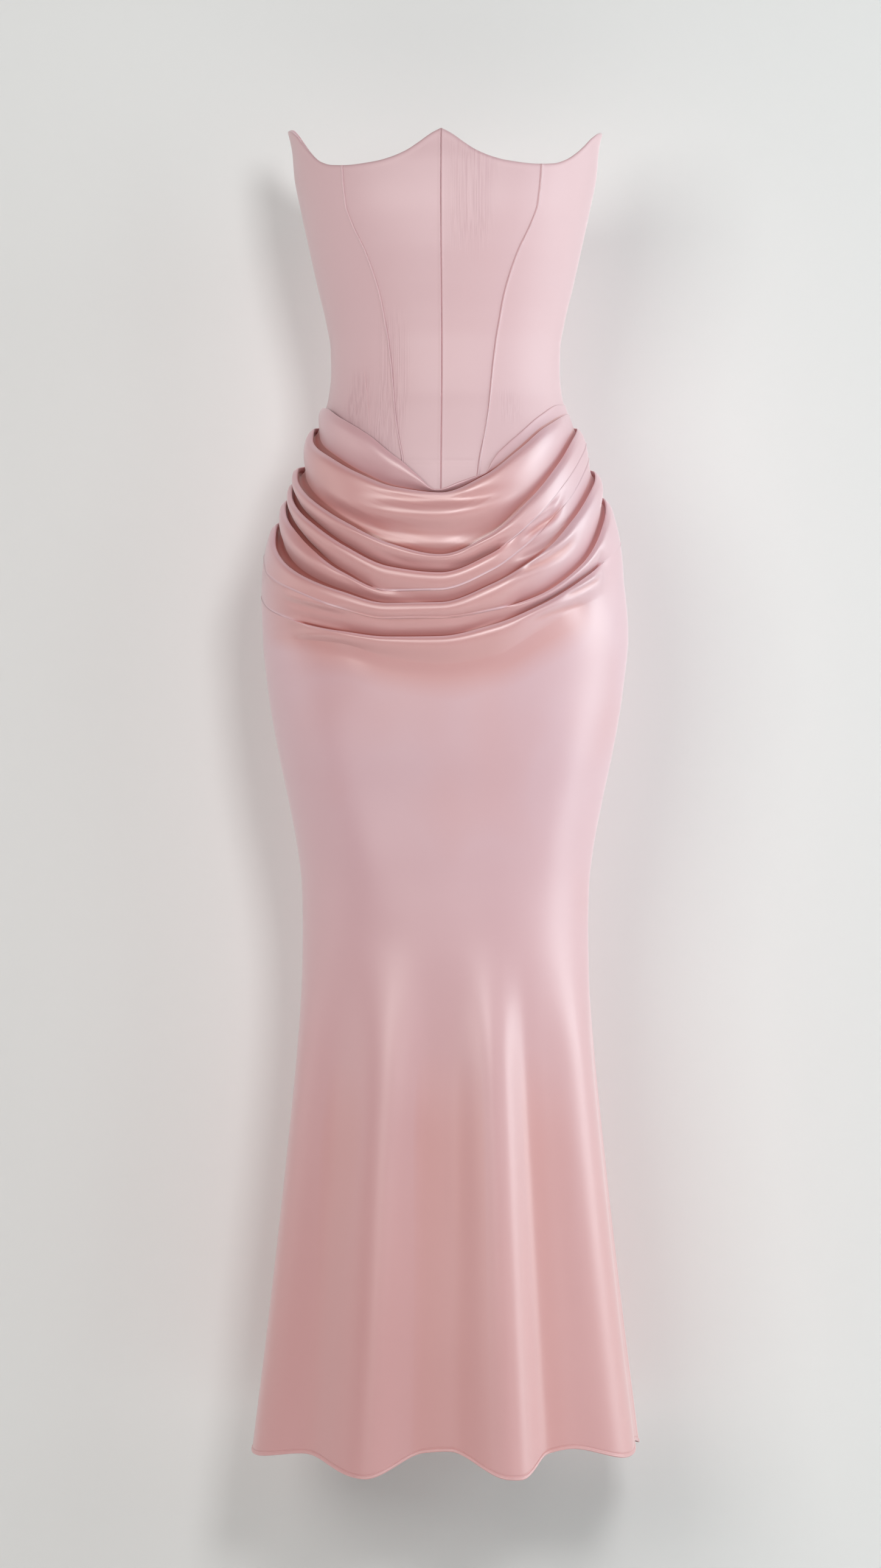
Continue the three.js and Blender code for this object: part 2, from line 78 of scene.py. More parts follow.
# Level sections of the body: height, half width, depth in front and depth behind
BODY = np.array([
    (-1110, 197, 138, 162), (-1048, 189.5, 132, 154), (-960, 178.5, 124, 142),
    (-772, 157.2, 107, 116), (-672, 147.2, 99.5, 105), (-593, 141.6, 95, 98),
    (-555, 140.7, 94, 96), (-514, 141.6, 94, 96), (-482, 145, 95, 98), (-427, 155.2, 97, 104),
    (-386, 164, 100, 110), (-318, 175.4, 104, 121), (-270, 179.6, 106.5, 128),
    (-245, 178, 107, 130), (-210, 173, 107, 131), (-181, 166.5, 106, 129), (-150, 157, 103, 125),
    (-100, 139, 96, 112), (-70, 127.5, 90, 101), (-50, 120, 86, 93), (-30, 114.8, 82, 86),
    (-7, 112.7, 80, 81), (15, 113.2, 80, 79), (41, 117.5, 83, 80), (76, 125.9, 90, 83),
    (111, 133.7, 97, 87), (151, 142.4, 101, 90), (186, 149.2, 99, 89), (208, 151, 95.5, 87),
    (228, 155, 92, 85), (240, 158, 90, 84),
])

# Neckline: angle from centre front, height on the left and on the right
NECK = np.array([
    (0, 219, 219), (3.3, 214.5, 214.5), (9, 204, 204), (13, 197.5, 197.5), (19, 191.3, 191.3),
    (25, 187.8, 187.8), (36, 185.7, 185.7), (46, 187.5, 187.5), (52, 191.5, 191.5),
    (61.5, 205.7, 202.5), (66, 212.8, 208.8), (72, 222.7, 217.5), (80, 229, 224.2),
    (88, 231.2, 226.8), (98, 234, 229), (103, 235, 229.7), (108, 231.4, 227.8),
    (112, 224.4, 224.2), (116, 216.5, 219.5), (121, 208.5, 211), (128, 199.5, 201),
    (136, 192.5, 193), (150, 186, 186), (180, 181, 181),
])

# Front princess seam: height, angle
PRINCESS = np.array([
    (-125, 13), (-97, 15.5), (-70, 19.3), (-38, 23.2), (0, 26), (30, 27.8), (62, 29.3), (98, 33),
    (130, 38), (147, 39.6), (220, 39),
])

# Upper lips of the hip folds, top to bottom: height of each at these angles, and how far it
# stands out there. The last one is where the lowest soft roll ends.
FOLD_ANGLES = [-98, -84, -70, -50, -32, -16, 0, 16, 32, 50, 70, 84, 98]
FOLDS = {
    "basque edge": (
        [-44, -44, -45.5, -57.5, -75, -100, -122, -106, -79, -56, -42, -40, -40],
        [1, 2, 3, 4, 4.5, 4.5, 4, 0.5, -0.6, -0.8, -0.8, -0.8, -0.8],
    ),
    "first cowl": (
        [-61, -64, -78, -95, -113, -128, -134, -117, -91, -66, -53, -50, -50],
        [2, 4, 5, 6, 6, 6.5, 6.5, 6, 5.5, 4, 2, 1, 1],
    ),
    "second cowl": (
        [-98, -102, -117, -140, -163, -183, -193, -174, -139, -103, -75, -65, -62],
        [3, 5, 6, 7, 7, 7.5, 7.5, 7, 7, 6, 5, 4, 2],
    ),
    "left half fold": (
        [-113, -118, -135, -160, -185, -204, -210, -192, -160, -122, -91, -79, -75],
        [3, 4, 5, 5.5, 5.5, 5, 4.5, 3, 0.8, 0, 0, 0, 0],
    ),
    "left short fold": (
        [-130, -136, -153, -182, -209, -227, -226, -208, -178, -140, -107, -93, -88],
        [3, 4.5, 5, 5.5, 4, 1.2, 0, 0, 0, 0, 0, 0, 0],
    ),
    "deep cowl": (
        [-152, -159, -183, -209, -227, -239, -239, -222, -194, -157, -123, -109, -102],
        [3, 6, 7, 8, 8, 8, 7.5, 7.5, 7.5, 7, 6.5, 5, 3],
    ),
    "right half fold": (
        [-182, -188, -206, -226, -243, -254, -254, -246, -231, -200, -158, -138, -128],
        [0, 0, 0, 0, 0, 0, 0, 0.8, 4, 6, 6, 5, 3],
    ),
    "lowest cowl": (
        [-222, -228, -242, -256, -266, -272, -271, -260, -240, -214, -191, -178, -170],
        [0, 0, 0.5, 2, 5, 6, 6.5, 6.5, 6.5, 5, 0.8, 0, 0],
    ),
    "end of the lowest roll": (
        [-264, -267, -271, -276, -280, -294, -301, -294, -268, -244, -228, -221, -217],
        [0, 0, 0, 0, 0, 0, 0, 0, 0, 0, 0, 0, 0],
    ),
}

# The first lip dips to a point just left of the centre: angle, how far down
TIP = np.array([
    (-16, 0), (-8, -3), (-2.5, -8.3), (6, -5), (12, -7), (17, -9.5), (20.8, -2.5), (23.5, 0),
])

# Soft ridges and troughs between the lips: how far out or in, half width, and the line they
# follow as (angle, height) points. Each dies away over a share of its length at both ends.
CREASE_FADE = 0.3
CREASES = [
    (4.2, 6.5, [(-55, -117), (-41, -135), (-22, -150), (-1, -155), (12, -150), (36, -124)]),
    (-3.0, 5, [(-33, -128), (-20, -137), (-7, -141), (8, -140), (18, -135), (33, -126)]),
    (-3.0, 6, [(-55, -130), (-37, -149), (-19, -167), (2, -172), (22, -160)]),
    (2.0, 4, [(-46, -150), (-30, -168), (-10, -183), (8, -184), (24, -168)]),
    (-2.4, 4, [(-29, -180), (-6, -201), (4, -202), (18, -186), (31, -159)]),
    (-3.2, 4, [(26, -181), (34, -167), (42, -155), (49, -139)]),
    (2.4, 4.5, [(24, -173), (33, -159), (41, -147), (50, -130)]),
    (-2.4, 3.5, [(27, -168), (35, -157), (43, -146)]),
    (-3.0, 4.5, [(20, -216), (35, -198), (42, -188), (51, -172)]),
    (2.8, 5, [(20, -206), (35, -188), (42, -178), (52, -161)]),
    (2.4, 4, [(-48, -186), (-33, -208), (-18, -231), (-6, -237)]),
    (-2.6, 5, [(-69, -154), (-53, -178), (-31, -211), (-20, -228)]),
    (-2.8, 5.5, [(-42, -238), (-27, -249), (-14, -256), (2, -254), (22, -240)]),
    (2.0, 3.5, [(-61, -226), (-43, -237), (-28, -246)]),
    (-2.2, 3, [(-60, -233), (-40, -245), (-26, -254)]),
    (2.2, 3.5, [(-60, -251), (-39, -261), (-26, -269)]),
    (-2.0, 3, [(38, -236), (49, -224), (61, -211)]),
    (1.6, 3, [(40, -229), (50, -218), (60, -205)]),
    (-3.0, 3, [(-56, -273), (-38, -276.5), (-29, -281), (-18, -289)]),
    (1.6, 4, [(-54, -267), (-38, -270), (-22, -279)]),
    (-2.4, 4, [(22, -264), (38, -247), (44, -243), (57, -237)]),
    (1.4, 5, [(-76, -198), (-64, -214), (-50, -222)]),
]

# Long soft ridges and troughs that run down the skirt: out or in, half width in degrees, and
# the line they follow as (height, angle) points
FALL_FADE = 0.35
FALLS = [
    (3.0, 13, [(-300, -46), (-400, -40), (-500, -31), (-570, -24)]),
    (1.6, 12, [(-310, 52), (-420, 48), (-540, 44)]),
    (-1.4, 8, [(-560, 5), (-640, 6), (-760, 7), (-980, 8)]),
    (1.4, 6, [(-570, -11), (-640, -11), (-780, -12)]),
]

# The neckline's folded edge: its close rows as shares of the panel, how deep it turns in and
# over what height, and its low ridge
NECK_ROWS = [0, 0.0015, 0.0035, 0.007, 0.013]
NECK_TURN = (0.9, 0.7)
NECK_RIDGE = {"rise": 0.25, "below": 3.5, "wide": 1.8}

# The edge of the waist stay that shows through the point of the bodice
STAY = {"height": -103.5, "step": 1.6, "inward": 0.4, "edge": 0.5, "edge_wide": 1.2}
STAY_LEFT = (-15.5, -12)
STAY_RIGHT = (11.5, 14)

# Where fine upright ripples show in the bodice
RIPPLES = [
    {"angle": 12, "wide": 8, "height": 162, "tall": 52, "strength": 1.0},
    {"angle": -25, "wide": 8, "height": -30, "tall": 68, "strength": 0.8},
    {"angle": -45, "wide": 8, "height": -42, "tall": 28, "strength": 1.0},
    {"angle": 33, "wide": 6, "height": -48, "tall": 16, "strength": 0.5},
    {"angle": 150, "wide": 14, "height": 60, "tall": 50, "strength": 0.6},
    {"angle": -146, "wide": 12, "height": 20, "tall": 45, "strength": 0.6},
]

# A stitched dart on the left side front: points as (angle, height)
DART = [(-43.5, -8), (-41.5, -22), (-39.5, -36), (-37, -50), (-34.5, -66), (-33, -76)]
DART_RADIUS = 0.7
DART_RINGS = 40
DART_SIDES = 8

# The zip's tape and its coil, inside the centre-back seam
TAPE = {"half_angle": 4.5, "below_neck": 4, "end": -150, "inside": 2.3, "thick": 0.7}
TAPE_GRID = (13, 110)
COIL = {"pitch": 1.5, "radius": 0.6, "half_length": 2.3, "inside": 3.5, "short_by": (6, 4)}
COIL_RINGS = 6
COIL_SIDES = 6

# Soft drag lines in the plain back: out or in, half width, line
BACK_CREASES = [
    (1.3, 8, [(104, -60), (125, -72), (150, -78)]),
    (-1.2, 7, [(103, -84), (122, -96), (146, -101)]),
    (1.0, 9, [(102, -120), (120, -136), (140, -142)]),
    (1.2, 8, [(-152, -74), (-126, -66), (-104, -57)]),
    (-1.3, 7, [(-148, -104), (-124, -97), (-103, -88)]),
    (1.1, 9, [(-142, -150), (-122, -142), (-103, -128)]),
    (-1.0, 10, [(-140, -190), (-120, -184), (-102, -172)]),
]

# Flutes: angle, how far out at the hem, height of the hem
FLUTES = np.array([
    (-180, -8, -1058), (-157, 9, -1071), (-134, -8, -1057), (-112, 8, -1069), (-90, -4, -1064),
    (-68, 5, -1067), (-45, -9, -1060), (-21, 10, -1076), (-5, -12, -1053), (3, -9.5, -1051),
    (19, 12, -1075), (23, 10, -1076), (35, -12, -1056), (43, -9, -1053), (64, 8, -1065),
    (88, -5, -1059), (111, 8, -1069), (134, -8, -1057), (157, 9, -1071), (180, -8, -1058),
])


def smooth_curve(xs, ys):
    """A smooth curve through the points that never swings past them."""
    xs = np.asarray(xs, float)
    ys = np.asarray(ys, float)
    step = np.diff(xs)
    rise = np.diff(ys) / step
    slope = np.zeros(len(xs))
    slope[0] = rise[0]
    slope[-1] = rise[-1]
    for i in range(1, len(xs) - 1):
        if rise[i - 1] * rise[i] > 0:
            before = 2 * step[i] + step[i - 1]
            after = step[i] + 2 * step[i - 1]
            slope[i] = (before + after) / (before / rise[i - 1] + after / rise[i])

    def curve(x):
        i = np.clip(np.searchsorted(xs, x) - 1, 0, len(xs) - 2)
        t = np.clip((x - xs[i]) / step[i], 0, 1)
        s = 1 - t
        start = ys[i] * (1 + 2 * t) + slope[i] * step[i] * t
        end = ys[i + 1] * (1 + 2 * s) - slope[i + 1] * step[i] * s
        return start * s * s + end * t * t

    return curve


def ease(x, low, high):
    """0 below low, 1 above high, smooth between."""
    t = np.clip((x - low) / (high - low), 0, 1)
    return t * t * (3 - 2 * t)


half_width = smooth_curve(BODY[:, 0], BODY[:, 1])
front_depth = smooth_curve(BODY[:, 0], BODY[:, 2])
back_depth = smooth_curve(BODY[:, 0], BODY[:, 3])
neck_on_left = smooth_curve(NECK[:, 0], NECK[:, 1])
neck_on_right = smooth_curve(NECK[:, 0], NECK[:, 2])
princess_angle = smooth_curve(PRINCESS[:, 0], PRINCESS[:, 1])
flute_out = smooth_curve(FLUTES[:, 0], FLUTES[:, 1])
hem_height = smooth_curve(FLUTES[:, 0], FLUTES[:, 2])
tip_drop = smooth_curve(TIP[:, 0], TIP[:, 1])
FOLD_CURVES = [
    (smooth_curve(FOLD_ANGLES, height), smooth_curve(FOLD_ANGLES, out))
    for height, out in FOLDS.values()
]


def bell(x):
    """1 at 0, and almost nothing beyond 2 on either side."""
    return np.exp(-(x**2))


def fades(x, low, high, share):
    """1 along a stretch, dying away over a share of it at both ends."""
    reach = (high - low) * share
    return ease(x, low, low + reach) * (1 - ease(x, high - reach, high))


def unit(vectors):
    """The same directions, each with length one."""
    return vectors / np.maximum(np.linalg.norm(vectors, axis=-1, keepdims=True), 1e-9)


def neck_height(angle):
    """Height of the neckline, a little higher on the left."""
    return np.where(angle < 0, neck_on_left(-angle), neck_on_right(angle))


def waist_height(angle):
    """The bodice's lower edge: under the first lip in front, level across the back."""
    front = FOLD_CURVES[0][0](np.clip(angle, -SIDE_SEAM, SIDE_SEAM)) - EDGE_LAP
    front = front + tip_drop(angle)
    share = np.clip((np.abs(angle) - SIDE_SEAM) / LEVEL_WITHIN, 0, 1)
    return front + (BACK_WAIST - front) * share


def creases_out(creases, angle, z):
    """What a list of soft ridges and troughs adds at each point."""
    added = np.zeros_like(z)
    for out, wide, line in creases:
        angles, heights = zip(*line)
        middle = smooth_curve(angles, heights)(angle)
        ends = fades(angle, angles[0], angles[-1], CREASE_FADE)
        added += out * ends * bell((z - middle) / wide)
    return added


def falls_out(falls, angle, z):
    """What the long ridges and troughs down the skirt add at each point."""
    added = np.zeros_like(z)
    for out, wide, line in falls:
        heights, angles = zip(*reversed(line))
        middle = smooth_curve(heights, angles)(z)
        ends = fades(z, heights[0], heights[-1], FALL_FADE)
        added += out * ends * bell((angle - middle) / wide)
    return added


def relief(angle, z):
    """Soft cups over the bust, and flutes that open towards the hem."""
    aside = (np.abs(angle) - CUP_ANGLE) / CUP_WIDE
    above = (z - CUP_HEIGHT) / CUP_TALL
    cup = CUP_RISE * bell(aside) * bell(above)
    fall = np.clip((FLUTE_TOP - z) / (FLUTE_TOP - FLUTE_FULL), 0, 1.1)
    swell = FLUTE_SWELL * ease(-z, -FLUTE_TOP, -FLUTE_TOP + FLUTE_SWELL_OVER)
    return cup + flute_out(angle) * (swell + (1 - FLUTE_SWELL) * fall**FLUTE_OPENING)


def body_points(angle, z, lift=0.0):
    """Points on the body at these angles and heights, in millimetres."""
    turn = np.radians(angle)
    wide = half_width(z)
    deep = np.where(np.abs(angle) <= 90, front_depth(z), back_depth(z))
    away_x = deep * np.sin(turn)
    away_y = -wide * np.cos(turn)
    length = np.hypot(away_x, away_y)
    out = lift + relief(angle, z)
    x = wide * np.sin(turn) + away_x / length * out
    y = -deep * np.cos(turn) + away_y / length * out
    return np.stack([x, y, z + np.zeros_like(x)], axis=-1)


# How each kind of seam edge lies: height of its ridge, and how deep and wide it turns in
SEAMS = {
    "centre": (0.3, 1.3, 0.5),
    "laps over": (1.2, 0.6, 0.45),
    "laps under": (-0.1, 0.3, 0.3),
    "plain": (0.25, 0.8, 0.4),
}
RIDGE_AT = 1.3
RIDGE_WIDE = 0.9


def seam_roll(distance, seam, rise):
    """How a piece's edge lies at a seam: a low ridge, then the cloth turns in."""
    ridge, depth, width = SEAMS[seam]
    return ridge * rise * bell((distance - RIDGE_AT) / RIDGE_WIDE) - depth * bell(distance / width)


# Places of the columns next to a seam, and how far a free edge's rounding stands out
SEAM_STEPS = [0.0, 0.2, 0.42, 0.7, 1.1, 1.6, 2.2, 3.2, 5.0]
EDGE_ROUNDING = 0.4
PLACING_ROUNDS = 10
PLACING_START = 100.0


def shares_across(width, plain):
    """Column places from 0 to 1: close together at both seams, even between them."""
    near = [step / width for step in SEAM_STEPS]
    middle = np.linspace(near[-1], 1 - near[-1], plain + 2)[1:-1]
    return np.concatenate([near, middle, [1 - share for share in reversed(near)]])


def row_normals(grid):
    """Outward unit normals of a grid of points, by rows and columns."""
    return unit(np.cross(np.gradient(grid, axis=1), np.gradient(grid, axis=0)))


def distances_across(points):
    """How far each point lies along its row from the first seam, and from the last."""
    steps = np.linalg.norm(np.diff(points, axis=0), axis=2)
    first = np.concatenate([np.zeros((1, steps.shape[1])), np.cumsum(steps, axis=0)])
    return first, first[-1] - first


def smooth_piece(name, points, faces, material):
    """A smooth mesh object from points in millimetres."""
    mesh = bpy.data.meshes.new(name)
    mesh.from_pydata((points * MM).tolist(), [], faces)
    mesh.validate()
    mesh.shade_smooth()
    mesh.materials.append(material)
    piece = bpy.data.objects.new(name, mesh)
    bpy.context.collection.objects.link(piece)
    return piece


def cloth_shell(name, grid, thick, material):
    """A closed thin shell of cloth under a grid of outer points, with rounded free edges."""
    columns, rows = grid.shape[:2]
    inner = grid - row_normals(grid) * thick
    middle = (grid + inner) / 2
    rounding = thick * EDGE_ROUNDING
    top = middle[:, 0] + unit(grid[:, 0] - grid[:, 1]) * rounding
    foot = middle[:, -1] + unit(grid[:, -1] - grid[:, -2]) * rounding
    points = np.concatenate([grid.reshape(-1, 3), inner.reshape(-1, 3), top, foot])
    count = columns * rows
    index = np.arange(count).reshape(columns, rows)
    top_index = 2 * count + np.arange(columns)
    foot_index = top_index + columns
    a, b = index[:-1, :-1], index[:-1, 1:]
    c, d = index[1:, 1:], index[1:, :-1]
    faces = [
        np.stack([a, b, c, d], axis=-1).reshape(-1, 4),
        np.stack([a, d, c, b], axis=-1).reshape(-1, 4) + count,
    ]
    for edge, rim, flip in ((0, top_index, False), (rows - 1, foot_index, True)):
        for side in (0, count):
            line = index[:, edge] + side
            quad = np.stack([line[:-1], line[1:], rim[1:], rim[:-1]], axis=-1)
            turned = flip != (side > 0)
            faces.append(quad[:, ::-1] if turned else quad)
    for edge, flip in ((0, False), (columns - 1, True)):
        line = index[edge]
        quad = np.stack([line[1:], line[:-1], line[:-1] + count, line[1:] + count], axis=-1)
        faces.append(quad[:, ::-1] if flip else quad)
        rims = [(top_index[edge], line[0], not flip), (foot_index[edge], line[-1], flip)]
        for rim, corner, turned in rims:
            triangle = [corner, corner + count, rim, rim]
            faces.append(np.array([triangle[::-1] if turned else triangle]))
    corners = [list(dict.fromkeys(face)) for face in np.concatenate(faces).tolist()]
    return smooth_piece(name, points, corners, material)


def bar_faces(rings, sides, start=0):
    """Faces of a closed bar of rings, whose points begin at start."""
    index = start + np.arange(rings * sides).reshape(rings, sides)
    after = np.roll(index, -1, axis=1)
    quads = np.stack([index[:-1], index[1:], after[1:], after[:-1]], axis=-1).reshape(-1, 4)
    return [*quads.tolist(), index[0].tolist(), index[-1][::-1].tolist()]


def zip_coil(name, top, end, material):
    """The coil's teeth: short round bars across the middle of the tape's inner face."""
    heights = np.arange(end, top, COIL["pitch"])
    across = np.linspace(-1, 1, COIL_RINGS)
    turns = np.linspace(0, 2 * math.pi, COIL_SIDES + 1)[:-1]
    radius = COIL["radius"] * np.sqrt(np.clip(1 - (0.93 * across) ** 4, 0, 1))
    middles = body_points(np.full_like(heights, 180.0), heights, -COIL["inside"])
    bar_x = np.repeat((across * COIL["half_length"])[:, None], len(turns), axis=1)
    bar_y = radius[:, None] * np.cos(turns)
    bar_z = radius[:, None] * np.sin(turns)
    bar = np.stack([bar_x, bar_y, bar_z], axis=-1).reshape(-1, 3)
    points = (middles[:, None, :] + bar[None, :, :]).reshape(-1, 3)
    faces = []
    for start in range(0, len(points), len(bar)):
        faces += bar_faces(len(across), len(turns), start)
    return smooth_piece(name, points, faces, material)


def place_cloth(piece, node):
    """Rides a piece of cloth on the dress in its node's place, and hides that node's part."""
    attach(piece, "dress")
    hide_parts(node)


def panel_places(left_seam, right_seam, top, foot, shares, row_shares):
    """Angles and heights of a bodice panel's points between its two seams."""
    share = shares[:, None]
    down = row_shares[None, :]
    z = np.full((len(shares), len(row_shares)), PLACING_START)
    for _ in range(PLACING_ROUNDS):
        left = left_seam(z)
        angle = left + (right_seam(z) - left) * share
        z = top(angle) + (foot(angle) - top(angle)) * down
    return angle, z


def bodice_rows(count):
    """Row places from 0 to 1, close together at the neckline."""
    return np.concatenate([NECK_ROWS, np.linspace(0.02, 1, count)])


def waist_stay(angle, z):
    """The edge of the stay inside the point of the bodice shows as a low level step."""
    inside = ease(angle, *STAY_LEFT) * (1 - ease(angle, *STAY_RIGHT))
    below = 1 - ease(z, STAY["height"] - STAY["step"], STAY["height"])
    edge = bell((z - STAY["height"] - 1) / STAY["edge_wide"])
    return inside * (STAY["edge"] * edge - STAY["inward"] * below)


def ripple_zones(angle, z):
    """Where the satin lies in fine upright ripples, from 0 to 1."""
    found = np.zeros_like(z)
    for zone in RIPPLES:
        aside = (angle - zone["angle"]) / zone["wide"]
        above = (z - zone["height"]) / zone["tall"]
        found = np.maximum(found, zone["strength"] * np.exp(-(aside**4) - above**4))
    return found


def bodice_panel(name, seams, width, plain, rows, kinds, sizes, material):
    """One panel of the bodice, with both seam edges turned in and the neckline folded."""
    shares = shares_across(width, plain)
    angle, z = panel_places(*seams, neck_height, waist_height, shares, bodice_rows(rows))
    from_left, from_right = distances_across(body_points(angle, z))
    lift = seam_roll(from_left, kinds[0], sizes.seam_rise)
    lift += seam_roll(from_right, kinds[1], sizes.seam_rise)
    below_neck = neck_height(angle) - z
    lift -= NECK_TURN[0] * bell(below_neck / NECK_TURN[1])
    lift += NECK_RIDGE["rise"] * bell((below_neck - NECK_RIDGE["below"]) / NECK_RIDGE["wide"])
    lift += waist_stay(angle, z)
    piece = cloth_shell(name, body_points(angle, z, lift), sizes.bodice_cloth, material)
    mark_points(piece, "ripple", ripple_zones(angle, z))
    return piece


def mark_points(piece, word, values):
    """Keeps a value on each point of a shell: the same outside and inside, and at its rims."""
    grid = values.reshape(-1)
    marks = np.concatenate([grid, grid, values[:, 0], values[:, -1]])
    attribute = piece.data.attributes.new(word, "FLOAT", "POINT")
    attribute.data.foreach_set("value", marks.astype(np.float32))


def tube_along(name, points, radius, sides, material):
    """A thin round ridge through these points, with closed ends that taper away."""
    along = unit(np.gradient(points, axis=0))
    away = unit(points * (1, 1, 0))
    side = np.cross(along, away)
    up = np.cross(side, along)
    taper = np.sqrt(np.clip(np.sin(np.linspace(0, math.pi, len(points))), 0.02, 1))
    turns = np.linspace(0, 2 * math.pi, sides + 1)[:-1]
    rings = [
        points + (side * math.cos(turn) + up * math.sin(turn)) * (radius * taper)[:, None]
        for turn in turns
    ]
    grid = np.stack(rings, axis=1).reshape(-1, 3)
    return smooth_piece(name, grid, bar_faces(len(points), sides), material)


def front_lift(z):
    """The skirt front laps over the bodice's edge, and comes back to the body lower down."""
    return DRAPE_LIFT * ease(z, LIFT_END, LIFT_START)


# Unevenness of the folds' lips: turns for each degree, start for each fold and size
WANDER = [(3.1, 77, 0.55), (8.3, 141, 0.25)]


def wander(angle, k):
    """A small unevenness along a fold's lip, different for each fold."""
    return sum(size * np.sin(np.radians(angle * pace + start * k)) for pace, start, size in WANDER)


# A fold's section: turns of its rounded lip, and steps down its face and across its pocket
NOSE_TURNS = [170, 135, 105, 78, 50, 18]
NOSE_SHARE = 0.2
FACE_STEPS = [0.04, 0.09, 0.15, 0.22, 0.3, 0.39, 0.49, 0.59, 0.69, 0.79, 0.88, 0.95]
POCKET_STEPS = [(0.9, 0.1, 0), (0.6, -0.5, 0.05), (0.4, -1, 0.45), (0.2, -0.55, 0.95)]
POCKET_DEPTH = 8.0
DIVE = 0.8
CREST_SHARE = 0.2
SWELL_SHARE = 0.08
SWELL_MOST = 2.4
VALLEY_SHARE = 0.13
OPEN_AT = 3.0
TUCK = {"above": 1.2, "inside": 1.6, "start": 2.2}

# Where the folds count as right-hand ones, and where the left-hand ones end, in degrees; and how
# much shallower the right-hand ones are, and how much less painted shade their faces and pockets
# get
RIGHT_HALF = (12, 55)
LEFT_END = (45, 88)
RIGHT_SHALLOWER = 0.75
RIGHT_FACE_LESS_SHADE = 0.7
RIGHT_POCKET_LESS_SHADE = 0.35

# How strong the painted shade is down a fold's face, on the left half of faces and of lips (turned
# from the light), down the first face, in creases' troughs and under the lowest roll
FACE_SHADE = 0.8
LEFT_FACE_SHADE = 0.62
LEFT_LIP_SHADE = 0.25
FIRST_FACE_SHADE = 0.3
CREASE_SHADE = 0.75
ROLL_SHADE = {"strength": 0.62, "below": 6, "wide": 22, "fades": (35, 65)}


def fold_face(below, drop, out, foot_out, dive_to):
    """How far a fold stands out this far below its lip: it swells, then dives under."""
    crest = np.clip(CREST_SHARE * drop, 0.5, 7)
    swell = np.clip(SWELL_SHARE * drop, 0, SWELL_MOST) * np.clip(out / 5, 0, 1)
    rising = out + swell * np.sin(0.5 * math.pi * np.clip(below / crest, 0, 1))
    t = np.clip((below - crest) / np.maximum(drop - crest, 0.5), 0, 1)
    end = math.cos(dive_to * math.pi)
    dive = (np.cos(dive_to * math.pi * t) - end) / (1 - end)
    falling = foot_out + (out + swell - foot_out) * dive
    return np.where(below < crest, rising, falling)


def fold_feet(heights, outs, opens, right_half):
    """How far each fold drops to its foot, and how far out its foot lies."""
    last = len(heights) - 2
    drops = [None] * last + [heights[last] - heights[last + 1]]
    feet = [None] * last + [np.zeros_like(right_half)]
    for k in range(last - 1, -1, -1):
        drop = heights[k] - heights[k + 1]
        closed = 1 - opens[k + 1]
        valley = -np.clip(VALLEY_SHARE * drop, 0.3, 4.5) * (1 - RIGHT_SHALLOWER * right_half)
        valley = np.maximum(valley, outs[k] - 0.85 * drop)
        drops[k] = drop + closed * drops[k + 1]
        feet[k] = opens[k + 1] * valley + closed * feet[k + 1]
    return drops, feet


def nose_size(k, step):
    """Radius of a lip's rounding, from how far it steps out over the cloth behind it."""
    wide = NOSE_SHARE * step
    return np.clip(wide, 0.02, 1.7) if k else np.clip(wide + 0.3, 0.4, 1.5)


def fold_lines(angle, fullness):
    """Heights, stand-outs and painted shade (0 to 1) down each column of the draped hips."""
    heights = [height(angle) + wander(angle, k) for k, (height, _) in enumerate(FOLD_CURVES)]
    heights[0] = heights[0] + tip_drop(angle)
    outs = [out(angle) * fullness for _, out in FOLD_CURVES]
    last = len(heights) - 2
    right_half = ease(angle, *RIGHT_HALF)
    left_half = (1 - right_half) * (1 - ease(-angle, *LEFT_END))
    opens = [np.ones_like(angle)] + [np.clip(out / OPEN_AT, 0, 1) for out in outs[1:]]
    drops, feet = fold_feet(heights, outs, opens, right_half)

    def stand_out(k, z):
        dive_to = 1.0 if k == last else DIVE
        own = fold_face(heights[k] - z, drops[k], outs[k], feet[k], dive_to)
        if k == 0:
            return own
        return opens[k] * own + (1 - opens[k]) * stand_out(k - 1, z)

    # The tuck under the first lip gets full painted shadow.
    rows = [(heights[0] - TUCK["above"], outs[0] - TUCK["inside"], np.ones_like(angle))]
    above = outs[0] - TUCK["start"]
    for k in range(last + 1):
        top, foot = heights[k], heights[k + 1]
        lip = stand_out(k, top)
        nose = nose_size(k, lip - above)
        # The lip's rounding, with painted shade on its left half.
        for turn in np.radians(NOSE_TURNS):
            z = top - nose * (1 - math.sin(turn))
            rows.append((z, lip - nose * (1 - math.cos(turn)), LEFT_LIP_SHADE * left_half))
        reach = np.maximum(top - foot - nose - 1, 0.3)
        above = stand_out(k, foot)
        next_lip = stand_out(min(k + 1, last), foot)
        step_out = np.maximum(next_lip - above, 0)
        # Down the face: painted shade that deepens towards the next lip, and painted shade over
        # the left half.
        for step in FACE_STEPS:
            z = top - nose - step * reach
            hollow = (FACE_SHADE if k else FIRST_FACE_SHADE) * step**1.5 * np.clip(step_out / 8, 0, 1)
            hollow = hollow * (1 - RIGHT_FACE_LESS_SHADE * right_half)
            left_shade = (LEFT_FACE_SHADE if k else LEFT_LIP_SHADE) * left_half
            rows.append((z, stand_out(k, z), np.maximum(hollow, left_shade)))
        if k == last:
            break
        wall = np.maximum(next_lip - 2 * nose_size(k + 1, step_out), above + 0.3 * step_out)
        open_share = np.clip(step_out / 4, 0, 1)
        pocket = POCKET_DEPTH * open_share
        # Across the pocket: painted shade as strong as the pocket is open, less on the right.
        for flat, deep, across in POCKET_STEPS:
            below = flat * (1 - open_share) + deep * pocket * open_share
            hollow = open_share * (1 - RIGHT_POCKET_LESS_SHADE * right_half)
            rows.append((foot + below, above + (wall - above) * across, hollow))
    return [np.stack(values, axis=1) for values in zip(*rows)]


